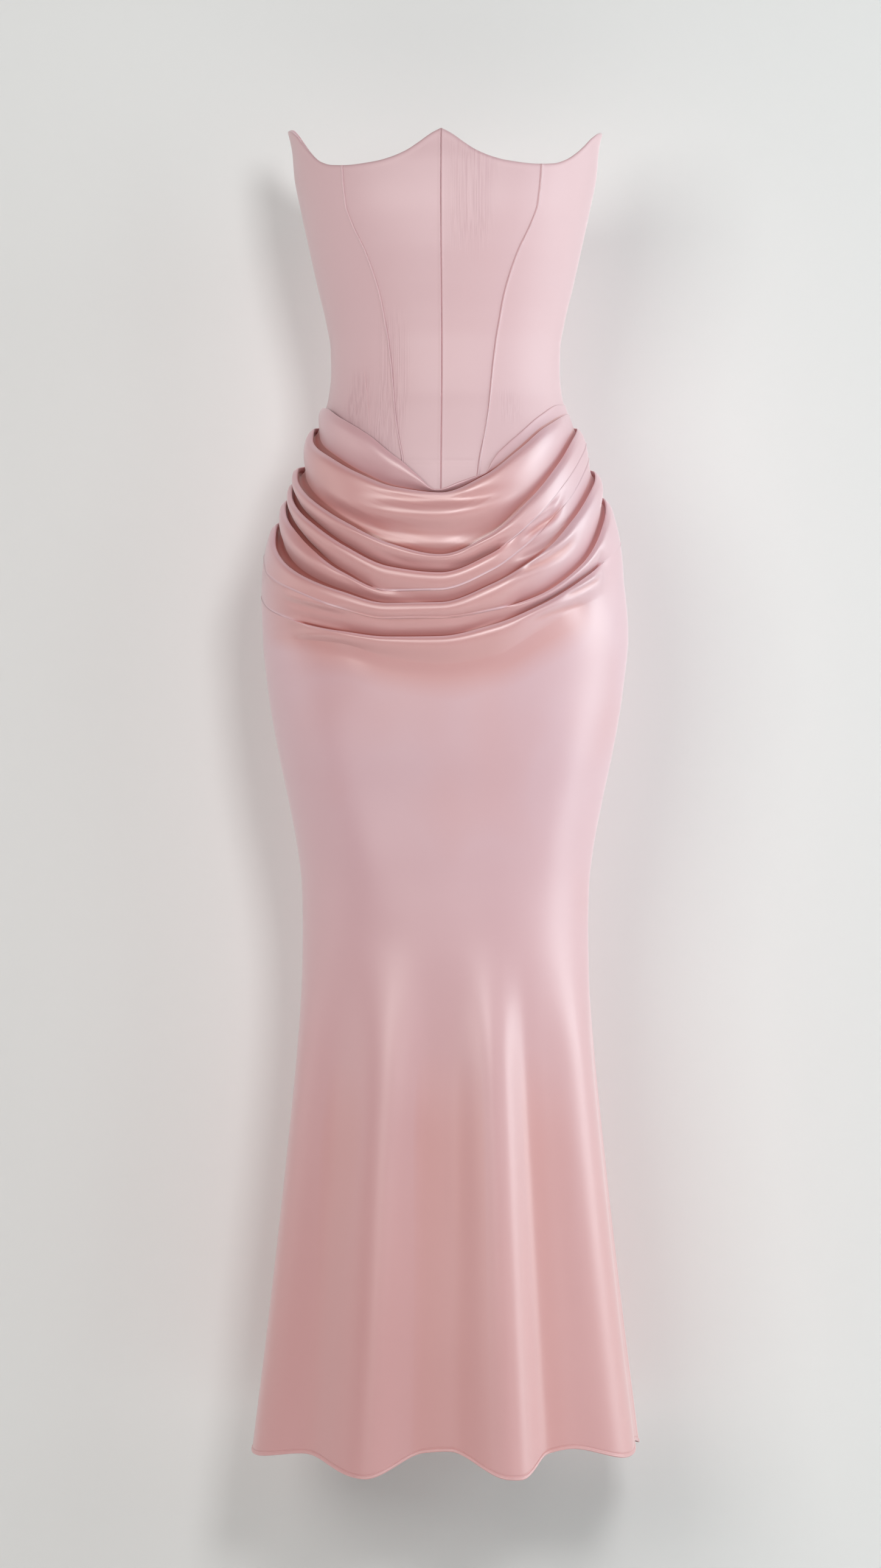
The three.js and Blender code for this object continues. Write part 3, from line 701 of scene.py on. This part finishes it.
# Heights of the rows above the hem, its groove's and its stitches' depth and half height
HEM_STEPS = [14, 9, 6.2, 5.0, 4.4, 3.9, 3.5, 3.1, 2.5, 2.0, 1.7, 1.4, 0.9, 0.35, 0.0]
HEM_GROOVE = (0.85, 0.45)
HEM_STITCHES = (0.4, 0.3)

# The skirt's plain columns and rows, and about how wide one degree of it is
FRONT_GRID = (150, 58)
BACK_GRID = (58, 120)
MM_PER_DEGREE = 2.6

# Painted shade in the flutes' hollows and on the slopes turned from the light: the depths where it
# begins and is full, the slope where it is full, its share on turned slopes, its strength and the
# height it comes in over
FLUTE_SHADE = {"depths": (-5, 13), "steepest": 1.5, "turned": 0.9, "strength": 0.7, "over": 210}
SLOPE_SPAN = 3


def hem_roll(above):
    """The narrow rolled hem: a groove over a small tube, with its line of stitches."""
    half = HEM_ROLL / 2
    tube = np.sqrt(np.clip(1 - ((above - half) / half) ** 2, 0, 1))
    groove = HEM_GROOVE[0] * bell((above - HEM_ROLL) / HEM_GROOVE[1])
    return tube - groove - HEM_STITCHES[0] * bell((above - half) / HEM_STITCHES[1])


def down_to_hem(start, hem, rows):
    """Heights from a start down to the hem, with close rows for its roll."""
    even = np.linspace(0, 1, rows + 1)[1:]
    long = start[:, None] + (hem + HEM_STEPS[0] - start)[:, None] * even[None, :]
    close = hem[:, None] + np.array(HEM_STEPS[1:])[None, :]
    return np.concatenate([long, close], axis=1)


def side_angles(start, end, plain):
    """Column angles between two seams, close together at both."""
    shares = shares_across(abs(end - start) * MM_PER_DEGREE, plain)
    return start + (end - start) * shares


def flute_shade(angle, z):
    """Painted shade from 0 to 1: in the hollows between the flutes, and on the slopes turned from
    the light.
    """
    inward = ease(-flute_out(angle), *FLUTE_SHADE["depths"])
    rise = flute_out(angle + SLOPE_SPAN) - flute_out(angle - SLOPE_SPAN)
    slope = rise / (2 * SLOPE_SPAN)
    turned = FLUTE_SHADE["turned"] * ease(slope, 0, FLUTE_SHADE["steepest"])
    shaded = 1 - (1 - inward) * (1 - turned)
    below = ease(-z, -FLUTE_TOP, -FLUTE_TOP + FLUTE_SHADE["over"])
    return FLUTE_SHADE["strength"] * shaded * below


def skirt_shell(name, angle, z, lift, hollow, sizes, material):
    """A skirt piece with its seam edges turned in, its hem rolled and its painted shade marked."""
    from_left, from_right = distances_across(body_points(angle, z))
    lift = lift + seam_roll(from_left, "plain", sizes.seam_rise)
    lift = lift + seam_roll(from_right, "plain", sizes.seam_rise)
    lift = lift + hem_roll(z - hem_height(angle))
    piece = cloth_shell(name, body_points(angle, z, lift), sizes.skirt_cloth, material)
    # Painted shade on the skirt: in the folds, creases and flutes, and on the slopes turned from
    # the light.
    mark_points(piece, "hollow", np.maximum(hollow, flute_shade(angle, z)))
    return piece


# Materials


# Where painted shade darkens the skirt towards the hem, as heights in metres, how strongly the
# marked painted shade counts, and the painted shadow colour of shut pockets
HEM_SHADE_HEIGHTS = (-0.3, -0.95)
SHADE_GAIN = 1.25
POCKET_SHADOW = (0.42, 0.12, 0.1, 1)
RIPPLE_SHADE = (0.9, 0.84, 0.86, 1)
RIPPLE_HEIGHT = -3.5
WEAVE_HEIGHT = 0.35
UNEVEN_GLOSS = 0.1
GRAIN_SCALE = 900


def feed(tree, node, inputs):
    """Gives each of a node's inputs a plain value or another node's output."""
    for word, value in inputs.items():
        if isinstance(value, bpy.types.NodeSocket):
            tree.links.new(value, node.inputs[word])
        else:
            node.inputs[word].default_value = value


def add_node(tree, kind, inputs=None, **settings):
    """Adds a node with these settings and inputs."""
    node = tree.nodes.new(kind)
    for word, value in settings.items():
        setattr(node, word, value)
    feed(tree, node, inputs or {})
    return node


def new_group(name, inputs, outputs):
    """An empty shader group with these input values and kinds of output."""
    group = bpy.data.node_groups.new(name, "ShaderNodeTree")
    for word, value in inputs.items():
        kind = "NodeSocketColor" if isinstance(value, tuple) else "NodeSocketFloat"
        group.interface.new_socket(word, in_out="INPUT", socket_type=kind).default_value = value
    for word, kind in outputs.items():
        group.interface.new_socket(word, in_out="OUTPUT", socket_type=f"NodeSocket{kind}")
    return group


def new_material(name, inputs):
    """A material with these values on its shader's own sockets, its tree and its shader."""
    material = bpy.data.materials.new(name)
    material.use_nodes = True
    tree = material.node_tree
    shader = tree.nodes["Principled BSDF"]
    feed(tree, shader, inputs)
    return material, tree, shader


def satin_group():
    """Weave, slubs and soft random unevenness of tone, shared by every satin, with painted shade
    in hollows, in shut pockets and towards the hem.
    """
    found = bpy.data.node_groups.get("Satin cloth")
    if found:
        return found
    inputs = {
        "Colour": (0.7, 0.5, 0.5, 1),
        "Deep colour": (0.6, 0.4, 0.4, 1),
        "Roughness": 0.4,
        "Slub": 0.3,
        "Ripple": 0.0,
        "Deepens by": 0.0,
        "Hollow": 0.0,
    }
    outputs = {"Colour": "Color", "Roughness": "Float", "Height": "Float"}
    group = new_group("Satin cloth", inputs, outputs)
    source = add_node(group, "NodeGroupInput").outputs
    place = add_node(group, "ShaderNodeTexCoord").outputs["Object"]

    def noise(scale, stretch, detail):
        stretched = add_node(group, "ShaderNodeMapping", {"Vector": place, "Scale": stretch})
        inputs = {"Vector": stretched.outputs["Vector"], "Scale": scale, "Detail": detail}
        return add_node(group, "ShaderNodeTexNoise", inputs).outputs["Fac"]

    def maths(operation, first, second):
        node = add_node(group, "ShaderNodeMath", {0: first, 1: second}, operation=operation)
        return node.outputs[0]

    def spread(value, low, high, **settings):
        inputs = {"Value": value, "From Min": low, "From Max": high}
        return add_node(group, "ShaderNodeMapRange", inputs, **settings).outputs["Result"]

    def mixed(factor, first, second, **settings):
        inputs = {"Factor": factor, "A": first, "B": second}
        node = add_node(group, "ShaderNodeMix", inputs, data_type="RGBA", **settings)
        return node.outputs["Result"]

    cloud = noise(7, (1, 1, 0.7), 2)
    slub = noise(260, (1, 1, 0.02), 2)
    weave = noise(2600, (1, 1, 0.35), 1)
    ripple = spread(noise(760, (1, 0.3, 0.009), 1), 0.4, 0.62)
    # Painted shade: darker towards the hem and where the marked shade lies, with a painted shadow
    # colour in shut pockets. The clouds are random tone.
    height = add_node(group, "ShaderNodeSeparateXYZ", {0: place}).outputs["Z"]
    lower = spread(height, *HEM_SHADE_HEIGHTS, interpolation_type="SMOOTHSTEP")
    hem_shaded = maths("MULTIPLY", lower, source["Deepens by"])
    darkest_shade = maths("MAXIMUM", hem_shaded, maths("MULTIPLY", source["Hollow"], SHADE_GAIN))
    cloud_and_shade = maths("MAXIMUM", spread(cloud, 0.42, 1.1), darkest_shade)
    ground = mixed(cloud_and_shade, source["Colour"], source["Deep colour"])
    rippled = maths("MULTIPLY", ripple, source["Ripple"])
    lined = mixed(rippled, ground, RIPPLE_SHADE, blend_type="MULTIPLY")
    colour = mixed(spread(source["Hollow"], 0.78, 1), lined, POCKET_SHADOW)
    uneven = maths("MULTIPLY", maths("SUBTRACT", cloud, 0.5), UNEVEN_GLOSS)
    roughness = maths("ADD", source["Roughness"], uneven)
    fine = maths("MULTIPLY", weave, WEAVE_HEIGHT)
    lines = maths("MULTIPLY", slub, source["Slub"])
    folds = maths("MULTIPLY", rippled, RIPPLE_HEIGHT)
    relief_height = maths("ADD", maths("ADD", fine, lines), folds)
    results = {"Colour": colour, "Roughness": roughness, "Height": relief_height}
    add_node(group, "NodeGroupOutput", results)
    return group


def satin(name, ground, deep, roughness, sheen, slub, hem_shade=0.0):
    """A satin: broad soft gloss over a pink ground, with painted shade in its hollows and towards
    the hem.
    """
    material, tree, shader = new_material(
        name,
        {
            "IOR": 1.8,
            "Specular IOR Level": 1.0,
            "Sheen Weight": sheen,
            "Sheen Roughness": 0.4,
            "Sheen Tint": (1.0, 0.96, 0.97, 1),
        },
    )
    inputs = {
        "Colour": (*ground, 1),
        "Deep colour": (*deep, 1),
        "Roughness": roughness,
        "Slub": slub,
        "Deepens by": hem_shade,
    }
    for word, socket in (("ripple", "Ripple"), ("hollow", "Hollow")):
        marks = add_node(tree, "ShaderNodeAttribute", attribute_name=word)
        inputs[socket] = marks.outputs["Fac"]
    cloth = add_node(tree, "ShaderNodeGroup", inputs, node_tree=satin_group()).outputs
    bumps = {"Strength": 0.25, "Distance": 0.0003, "Height": cloth["Height"]}
    normal = add_node(tree, "ShaderNodeBump", bumps).outputs["Normal"]
    surface = {"Base Color": cloth["Colour"], "Roughness": cloth["Roughness"], "Normal": normal}
    feed(tree, shader, surface)
    return material


def grain_group():
    """Fine uneven gloss, shared by the zip's plating and its coil."""
    found = bpy.data.node_groups.get("Fine grain")
    if found:
        return found
    group = new_group("Fine grain", {"Smoothest": 0.2, "Roughest": 0.4}, {"Roughness": "Float"})
    source = add_node(group, "NodeGroupInput").outputs
    place = add_node(group, "ShaderNodeTexCoord").outputs["Object"]
    grain = add_node(group, "ShaderNodeTexNoise", {"Vector": place, "Scale": GRAIN_SCALE})
    inputs = {"Value": grain.outputs["Fac"]}
    inputs.update({"To Min": source["Smoothest"], "To Max": source["Roughest"]})
    spread = add_node(group, "ShaderNodeMapRange", inputs)
    add_node(group, "NodeGroupOutput", {"Roughness": spread.outputs["Result"]})
    return group


def zip_material(name, colour, metallic, smoothest, roughest):
    """A plain hard material with a fine grain in its gloss."""
    material, tree, shader = new_material(name, {"Base Color": (*colour, 1), "Metallic": metallic})
    inputs = {"Smoothest": smoothest, "Roughest": roughest}
    grain = add_node(tree, "ShaderNodeGroup", inputs, node_tree=grain_group())
    feed(tree, shader, {"Roughness": grain.outputs["Roughness"]})
    return material


# The two satins, matt and glossier: how strong their slubs are, and how strong the painted shade
# that darkens them towards the hem is
SATINS = {"bodice": (0.5, 0.0), "skirt": (0.2, 0.74)}


def gown_satin(part):
    """The satin of the bodice or of the skirt, made on first use."""
    name = f"{part.capitalize()} satin"
    looks = bpy.context.scene.gown_looks
    ground, deep = getattr(looks, part), getattr(looks, f"{part}_deep")
    roughness = getattr(looks, f"{part}_roughness")
    found = bpy.data.materials.get(name)
    return found or satin(name, ground, deep, roughness, looks.sheen, *SATINS[part])


# Settings


class GownSizes(bpy.types.PropertyGroup):
    """Sizes of the cloth and its seams, in millimetres."""

    bodice_cloth: FloatProperty(
        name="Bodice cloth", description="Thickness of the backed bodice, mm", default=1.4, min=0.5
    )
    skirt_cloth: FloatProperty(
        name="Skirt cloth", description="Thickness of the skirt, mm", default=0.8, min=0.3
    )
    fold_fullness: FloatProperty(
        name="Fold fullness", description="How full the hip folds stand", default=1.15, min=0.2
    )
    seam_rise: FloatProperty(
        name="Seam ridge", description="How far a pressed seam stands up, mm", default=1.0, min=0.0
    )


def colour_setting(name, description, default):
    return FloatVectorProperty(
        name=name, description=description, subtype="COLOR", size=3, default=default, min=0, max=1
    )


def share_setting(name, description, default):
    return FloatProperty(
        name=name, description=description, subtype="FACTOR", default=default, min=0, max=1
    )


def lamp_setting(name, watts):
    return FloatProperty(
        name=name, description="Power of the lamp", unit="POWER", default=watts, min=0
    )


class GownLooks(bpy.types.PropertyGroup):
    """Colour and gloss of the satin."""

    bodice: colour_setting("Bodice", "The bodice satin's colour", (0.74, 0.475, 0.505))
    bodice_deep: colour_setting("Bodice, deep", "Its darker clouds", (0.71, 0.42, 0.44))
    skirt: colour_setting("Skirt", "The skirt satin's colour", (0.75, 0.475, 0.525))
    # The skirt's deep colour is its random darker clouds, and the colour of the painted shade in
    # its hollows and lower part.
    skirt_deep: colour_setting("Skirt, deep", "Its hollows and lower part", (0.7, 0.31, 0.29))
    bodice_roughness: share_setting("Bodice roughness", "Spread of the bodice's gloss", 0.58)
    skirt_roughness: share_setting("Skirt roughness", "Spread of the skirt's gloss", 0.42)
    sheen: share_setting("Sheen", "Soft light along edges", 0.55)


class GownStage(bpy.types.PropertyGroup):
    """Camera and lights."""

    distance: FloatProperty(
        name="Camera distance", description="From the gown's middle", default=4.0, unit="LENGTH"
    )
    turn: FloatProperty(
        name="Camera turn", description="Round from straight in front", subtype="ANGLE",
        default=math.radians(2.6),
    )
    key: lamp_setting("Key light", 22.0)
    side: lamp_setting("Side light", 25.0)
    strip: lamp_setting("Narrow side light", 5.0)
    edge: lamp_setting("Edge light", 16.5)
    window: lamp_setting("Window light", 9.0)
    left: lamp_setting("Left light", 31.0)
    low: lamp_setting("Low left light", 10.0)
    behind: lamp_setting("Light behind", 14.0)
    world: FloatProperty(name="World", description="Strength of the sky", default=0.02, min=0)


class GownOperator(bpy.types.Operator):
    """Shared ground of the gown's operators."""

    bl_options = {"REGISTER", "UNDO"}


# The bodice's seams as angles from centre front, and its panels from front to back: cut, near
# and far seam, rough width, plain columns, rows and how its two seam edges lie
SEAM_PLACES = {
    "centre front": 0.0,
    "princess": princess_angle,
    "side": SIDE_SEAM,
    "back princess": BACK_PRINCESS,
    "centre back": 180.0,
}
PANELS = [
    ("bodice_centre_front", "centre front", "princess", 85, 26, 160, ("centre", "laps under")),
    ("bodice_side_front", "princess", "side", 150, 40, 120, ("laps over", "plain")),
    ("bodice_side_back", "side", "back princess", 85, 22, 80, ("plain", "plain")),
    ("bodice_centre_back", "back princess", "centre back", 100, 24, 80, ("plain", "plain")),
]


def seam_line(side, seam):
    """A seam's angle at each height, on the left (-1) or the right (1)."""
    place = SEAM_PLACES[seam]
    if callable(place):
        return lambda z: side * place(z)
    return lambda z: np.full_like(z, side * place)


class GOWN_OT_bodice(GownOperator):
    """Cut the bodice's eight panels and join them at their seams"""

    bl_idname = "gown.bodice"
    bl_label = "Bodice"

    def execute(self, context):
        sizes = context.scene.gown_sizes
        material = gown_satin("bodice")
        for side, word in ((-1, "left"), (1, "right")):
            for cut, near, far, width, plain, rows, kinds in PANELS:
                name = f"{cut}_{word}"
                seams = [seam_line(side, near), seam_line(side, far)][::side]
                piece = bodice_panel(
                    f"{name}_satin", seams, width, plain, rows, kinds[::side], sizes, material
                )
                place_cloth(piece, name)
        marks = np.array(DART)[::-1]
        heights = np.linspace(marks[0, 1], marks[-1, 1], DART_RINGS)
        line = body_points(smooth_curve(marks[:, 1], marks[:, 0])(heights), heights)
        ridge = tube_along("bodice_dart_left", line, DART_RADIUS, DART_SIDES, material)
        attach(ridge, "dress")
        return {"FINISHED"}


class GOWN_OT_skirt_front(GownOperator):
    """Drape the skirt front into its folds, and drop it to the rolled hem"""

    bl_idname = "gown.skirt_front"
    bl_label = "Skirt front"

    def execute(self, context):
        sizes = context.scene.gown_sizes
        columns, rows = FRONT_GRID
        column = side_angles(-SIDE_SEAM, SIDE_SEAM, columns)
        fold_z, fold_out, fold_shade = fold_lines(column, sizes.fold_fullness)
        lower_z = down_to_hem(fold_z[:, -1], hem_height(column), rows)
        plain = np.zeros_like(lower_z)
        z = np.concatenate([fold_z, lower_z], axis=1)
        out = np.concatenate([fold_out, plain], axis=1)
        angle = np.repeat(column[:, None], z.shape[1], axis=1)
        creases = creases_out(CREASES, angle, z)
        sewn = SEWN_LIFT + (1 - SEWN_LIFT) * ease(SIDE_SEAM - np.abs(angle), 0, SEWN_DOWN)
        lift = (front_lift(z) + out) * sewn + creases + falls_out(FALLS, angle, z)
        # Painted shade in the band under the lowest roll and in the creases' troughs.
        below_roll = FOLD_CURVES[-1][0](angle) - ROLL_SHADE["below"] - z
        shade = ROLL_SHADE["strength"] * bell(below_roll / ROLL_SHADE["wide"])
        shade *= 1 - ease(np.abs(angle), *ROLL_SHADE["fades"])
        hollow = np.concatenate([fold_shade, plain], axis=1)
        hollow = np.maximum.reduce([hollow, shade, CREASE_SHADE * np.clip(-creases / 3, 0, 1)])
        material = gown_satin("skirt")
        piece = skirt_shell("skirt_front_satin", angle, z, lift, hollow, sizes, material)
        place_cloth(piece, "skirt_front")
        return {"FINISHED"}


class GOWN_OT_skirt_back(GownOperator):
    """Cut the two plain back panels of the skirt"""

    bl_idname = "gown.skirt_back"
    bl_label = "Skirt back"

    def execute(self, context):
        sizes = context.scene.gown_sizes
        columns, rows = BACK_GRID
        for start, end, word in ((-180, -SIDE_SEAM, "left"), (SIDE_SEAM, 180, "right")):
            column = side_angles(start, end, columns)
            top = waist_height(column) - SEAM_GAP
            z = np.concatenate([top[:, None], down_to_hem(top, hem_height(column), rows)], axis=1)
            angle = np.repeat(column[:, None], z.shape[1], axis=1)
            below_top = top[:, None] - z
            lift = creases_out(BACK_CREASES, angle, z)
            lift = lift + seam_roll(below_top, "plain", sizes.seam_rise)
            name, plain = f"skirt_back_{word}", np.zeros_like(z)
            material = gown_satin("skirt")
            piece = skirt_shell(f"{name}_satin", angle, z, lift, plain, sizes, material)
            place_cloth(piece, name)
        return {"FINISHED"}


class GOWN_OT_zip(GownOperator):
    """Finish the zip: plated slider and pull, and a tape with its coil inside the back seam"""

    bl_idname = "gown.zip"
    bl_label = "Zip"

    def execute(self, context):
        plated = zip_material("Rose plated zip", (0.72, 0.56, 0.53), 1, 0.22, 0.38)
        for node in ("zip_slider", "zip_pull"):
            obj = bpy.data.objects[node]
            obj.data.materials.clear()
            obj.data.materials.append(plated)
        woven = satin("Zip tape weave", (0.6, 0.42, 0.44), (0.56, 0.38, 0.4), 0.75, 0.2, 0.9)
        half = TAPE["half_angle"]
        top = neck_height(np.array(180.0)) - TAPE["below_neck"]
        angle = 180 + np.linspace(-half, half, TAPE_GRID[0])
        z = np.linspace(top, TAPE["end"], TAPE_GRID[1])
        angle, z = np.meshgrid(angle, z, indexing="ij")
        tape = cloth_shell(
            "zip_tape_cloth", body_points(angle, z, -TAPE["inside"]), TAPE["thick"], woven
        )
        place_cloth(tape, "zip_tape")
        nylon = zip_material("Coil", (0.6, 0.43, 0.44), 0, 0.3, 0.45)
        below_top, above_end = COIL["short_by"]
        coil = zip_coil("zip_coil", top - below_top, TAPE["end"] + above_end, nylon)
        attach(coil, "dress")
        return {"FINISHED"}


class GOWN_OT_stage(GownOperator):
    """Set the pale wall and floor, the lights and the camera"""

    bl_idname = "gown.stage"
    bl_label = "Stage"

    def execute(self, context):
        settings = context.scene.gown_stage
        make_room()
        make_world(settings.world)
        make_lights(settings)
        make_camera(settings)
        return {"FINISHED"}


WALL_BEHIND = 0.172
WALL_TOP = 1.4
FLOOR_HEIGHT = -1.30
ROOM_HALF = 2.2
FRAME_HEIGHT = 1.5456
FRAME_MIDDLE = -0.413
FRAME_ASIDE = -0.0048
SENSOR = 36.0
ROOM_SEEN = 0.8


def plain_surface(name, colour):
    """Matt paint that is clear from behind, and lets light through to the gown's back."""
    inputs = {"Base Color": (*colour, 1), "Roughness": 0.9, "Specular IOR Level": 0.1}
    material, tree, shader = new_material(name, inputs)
    clear = add_node(tree, "ShaderNodeBsdfTransparent")
    behind = add_node(tree, "ShaderNodeNewGeometry").outputs["Backfacing"]
    shadow = add_node(tree, "ShaderNodeLightPath").outputs["Is Shadow Ray"]
    either = add_node(tree, "ShaderNodeMath", {0: behind, 1: shadow}, operation="MAXIMUM")
    shaders = {"Fac": either.outputs[0], 1: shader.outputs["BSDF"], 2: clear.outputs["BSDF"]}
    mix = add_node(tree, "ShaderNodeMixShader", shaders)
    feed(tree, tree.nodes["Material Output"], {"Surface": mix.outputs["Shader"]})
    return material


def make_sheet(name, corners, material):
    """One flat face of the stage."""
    mesh = bpy.data.meshes.new(name)
    mesh.from_pydata(corners, [], [(0, 1, 2, 3)])
    mesh.materials.append(material)
    sheet = bpy.data.objects.new(name, mesh)
    bpy.context.collection.objects.link(sheet)


def make_room():
    """The wall behind the gown and the floor under it."""
    half, low, y = ROOM_HALF, FLOOR_HEIGHT, WALL_BEHIND
    corners = [(-half, y, low), (half, y, low), (half, y, WALL_TOP), (-half, y, WALL_TOP)]
    make_sheet("wall", corners, plain_surface("Wall paint", (0.895, 0.905, 0.895)))
    corners = [(-half, -half, low), (half, -half, low), (half, half, low), (-half, half, low)]
    make_sheet("floor", corners, plain_surface("Floor paint", (0.78, 0.775, 0.765)))


def make_world(strength):
    """A pale room that the camera sees at full brightness, and that lights the gown less."""
    world = bpy.data.worlds.new("Pale room")
    world.use_nodes = True
    tree = world.node_tree
    seen = add_node(tree, "ShaderNodeLightPath").outputs["Is Camera Ray"]
    inputs = {"Value": seen, "To Min": strength, "To Max": ROOM_SEEN}
    strength_seen = add_node(tree, "ShaderNodeMapRange", inputs).outputs["Result"]
    sky = {"Color": (0.93, 0.95, 1.0, 1), "Strength": strength_seen}
    feed(tree, tree.nodes["Background"], sky)
    bpy.context.scene.world = world


# Lamps: whose power each takes, degrees round from in front, how far away, how high, the height
# it aims at, its size and its colour
LAMPS = {
    "key": ("key", 13, 2.6, 0.5, -0.1, (0.5, 0.6), (1.0, 0.99, 0.99)),
    "side": ("side", 75, 2.8, 0.4, -0.3, (1.2, 2.0), (0.9, 1.0, 1.02)),
    "strip": ("strip", 45, 2.8, 0.3, -0.3, (0.6, 2.0), (0.94, 1.0, 1.02)),
    "edge": ("edge", 104, 2.4, 0.2, -0.4, (1.2, 2.2), (0.9, 1.0, 1.02)),
    "window": ("window", 86, 2.6, -0.3, -0.6, (1.0, 2.0), (0.9, 1.0, 1.02)),
    "left": ("left", -25, 3.0, 0.6, -0.2, (1.6, 1.6), (1.0, 0.97, 0.94)),
    "low_left": ("low", -80, 2.8, 0.2, -0.3, (1.4, 2.2), (1.0, 0.96, 0.92)),
    "behind_left": ("behind", -145, 3.1, 1.0, -0.4, (1.6, 2.2), (0.97, 0.98, 1.0)),
    "behind_right": ("behind", 140, 3.1, 0.4, -0.4, (1.6, 2.2), (1.0, 0.98, 0.96)),
}


def make_lights(settings):
    """Soft square lamps round the gown."""
    for name, (power, turn, away, height, aim, size, colour) in LAMPS.items():
        light = bpy.data.lights.new(name, "AREA")
        light.shape = "RECTANGLE"
        light.size, light.size_y = size
        light.energy = getattr(settings, power)
        light.color = colour
        turn = math.radians(turn)
        place = Vector((away * math.sin(turn), -away * math.cos(turn), height))
        lamp = bpy.data.objects.new(name, light)
        lamp.location = place
        lamp.rotation_euler = (Vector((0, 0, aim)) - place).to_track_quat("-Z", "Y").to_euler()
        bpy.context.collection.objects.link(lamp)


def make_camera(settings):
    """A level camera that frames the gown as the photograph does."""
    data = bpy.data.cameras.new("camera")
    data.sensor_width = SENSOR
    data.lens = SENSOR / 2 / (FRAME_HEIGHT / 2 / settings.distance)
    data.clip_end = 50
    camera = bpy.data.objects.new("camera", data)
    turn = settings.turn
    right = Vector((math.cos(turn), math.sin(turn), 0))
    toward = Vector((-math.sin(turn), math.cos(turn), 0))
    aim = right * FRAME_ASIDE + Vector((0, 0, FRAME_MIDDLE))
    camera.location = aim - toward * settings.distance
    camera.rotation_euler = (math.pi / 2, 0, turn)
    bpy.context.collection.objects.link(camera)
    bpy.context.scene.camera = camera


class GOWN_PT_panel(bpy.types.Panel):
    """The gown's pieces, in the order they are made"""

    bl_label = "Gown"
    bl_space_type = "VIEW_3D"
    bl_region_type = "UI"
    bl_category = "Gown"

    def draw(self, context):
        layout = self.layout
        for operator in OPERATORS:
            layout.operator(operator.bl_idname)
        for word, kind in SETTINGS.items():
            box = layout.box()
            for setting in kind.__annotations__:
                box.prop(getattr(context.scene, word), setting)


OPERATORS = (GOWN_OT_bodice, GOWN_OT_skirt_front, GOWN_OT_skirt_back, GOWN_OT_zip, GOWN_OT_stage)
SETTINGS = {"gown_sizes": GownSizes, "gown_looks": GownLooks, "gown_stage": GownStage}


def register():
    for kind in (*SETTINGS.values(), *OPERATORS, GOWN_PT_panel):
        bpy.utils.register_class(kind)
    for word, kind in SETTINGS.items():
        setattr(bpy.types.Scene, word, PointerProperty(type=kind))


def unregister():
    for word in SETTINGS:
        delattr(bpy.types.Scene, word)
    for kind in reversed((*SETTINGS.values(), *OPERATORS, GOWN_PT_panel)):
        bpy.utils.unregister_class(kind)


def main():
    register()
    bpy.context.scene.view_settings.view_transform = "Standard"
    bpy.ops.gown.bodice()
    bpy.ops.gown.skirt_front()
    bpy.ops.gown.skirt_back()
    bpy.ops.gown.zip()
    bpy.ops.gown.stage()


if __name__ == "__main__":
    main()
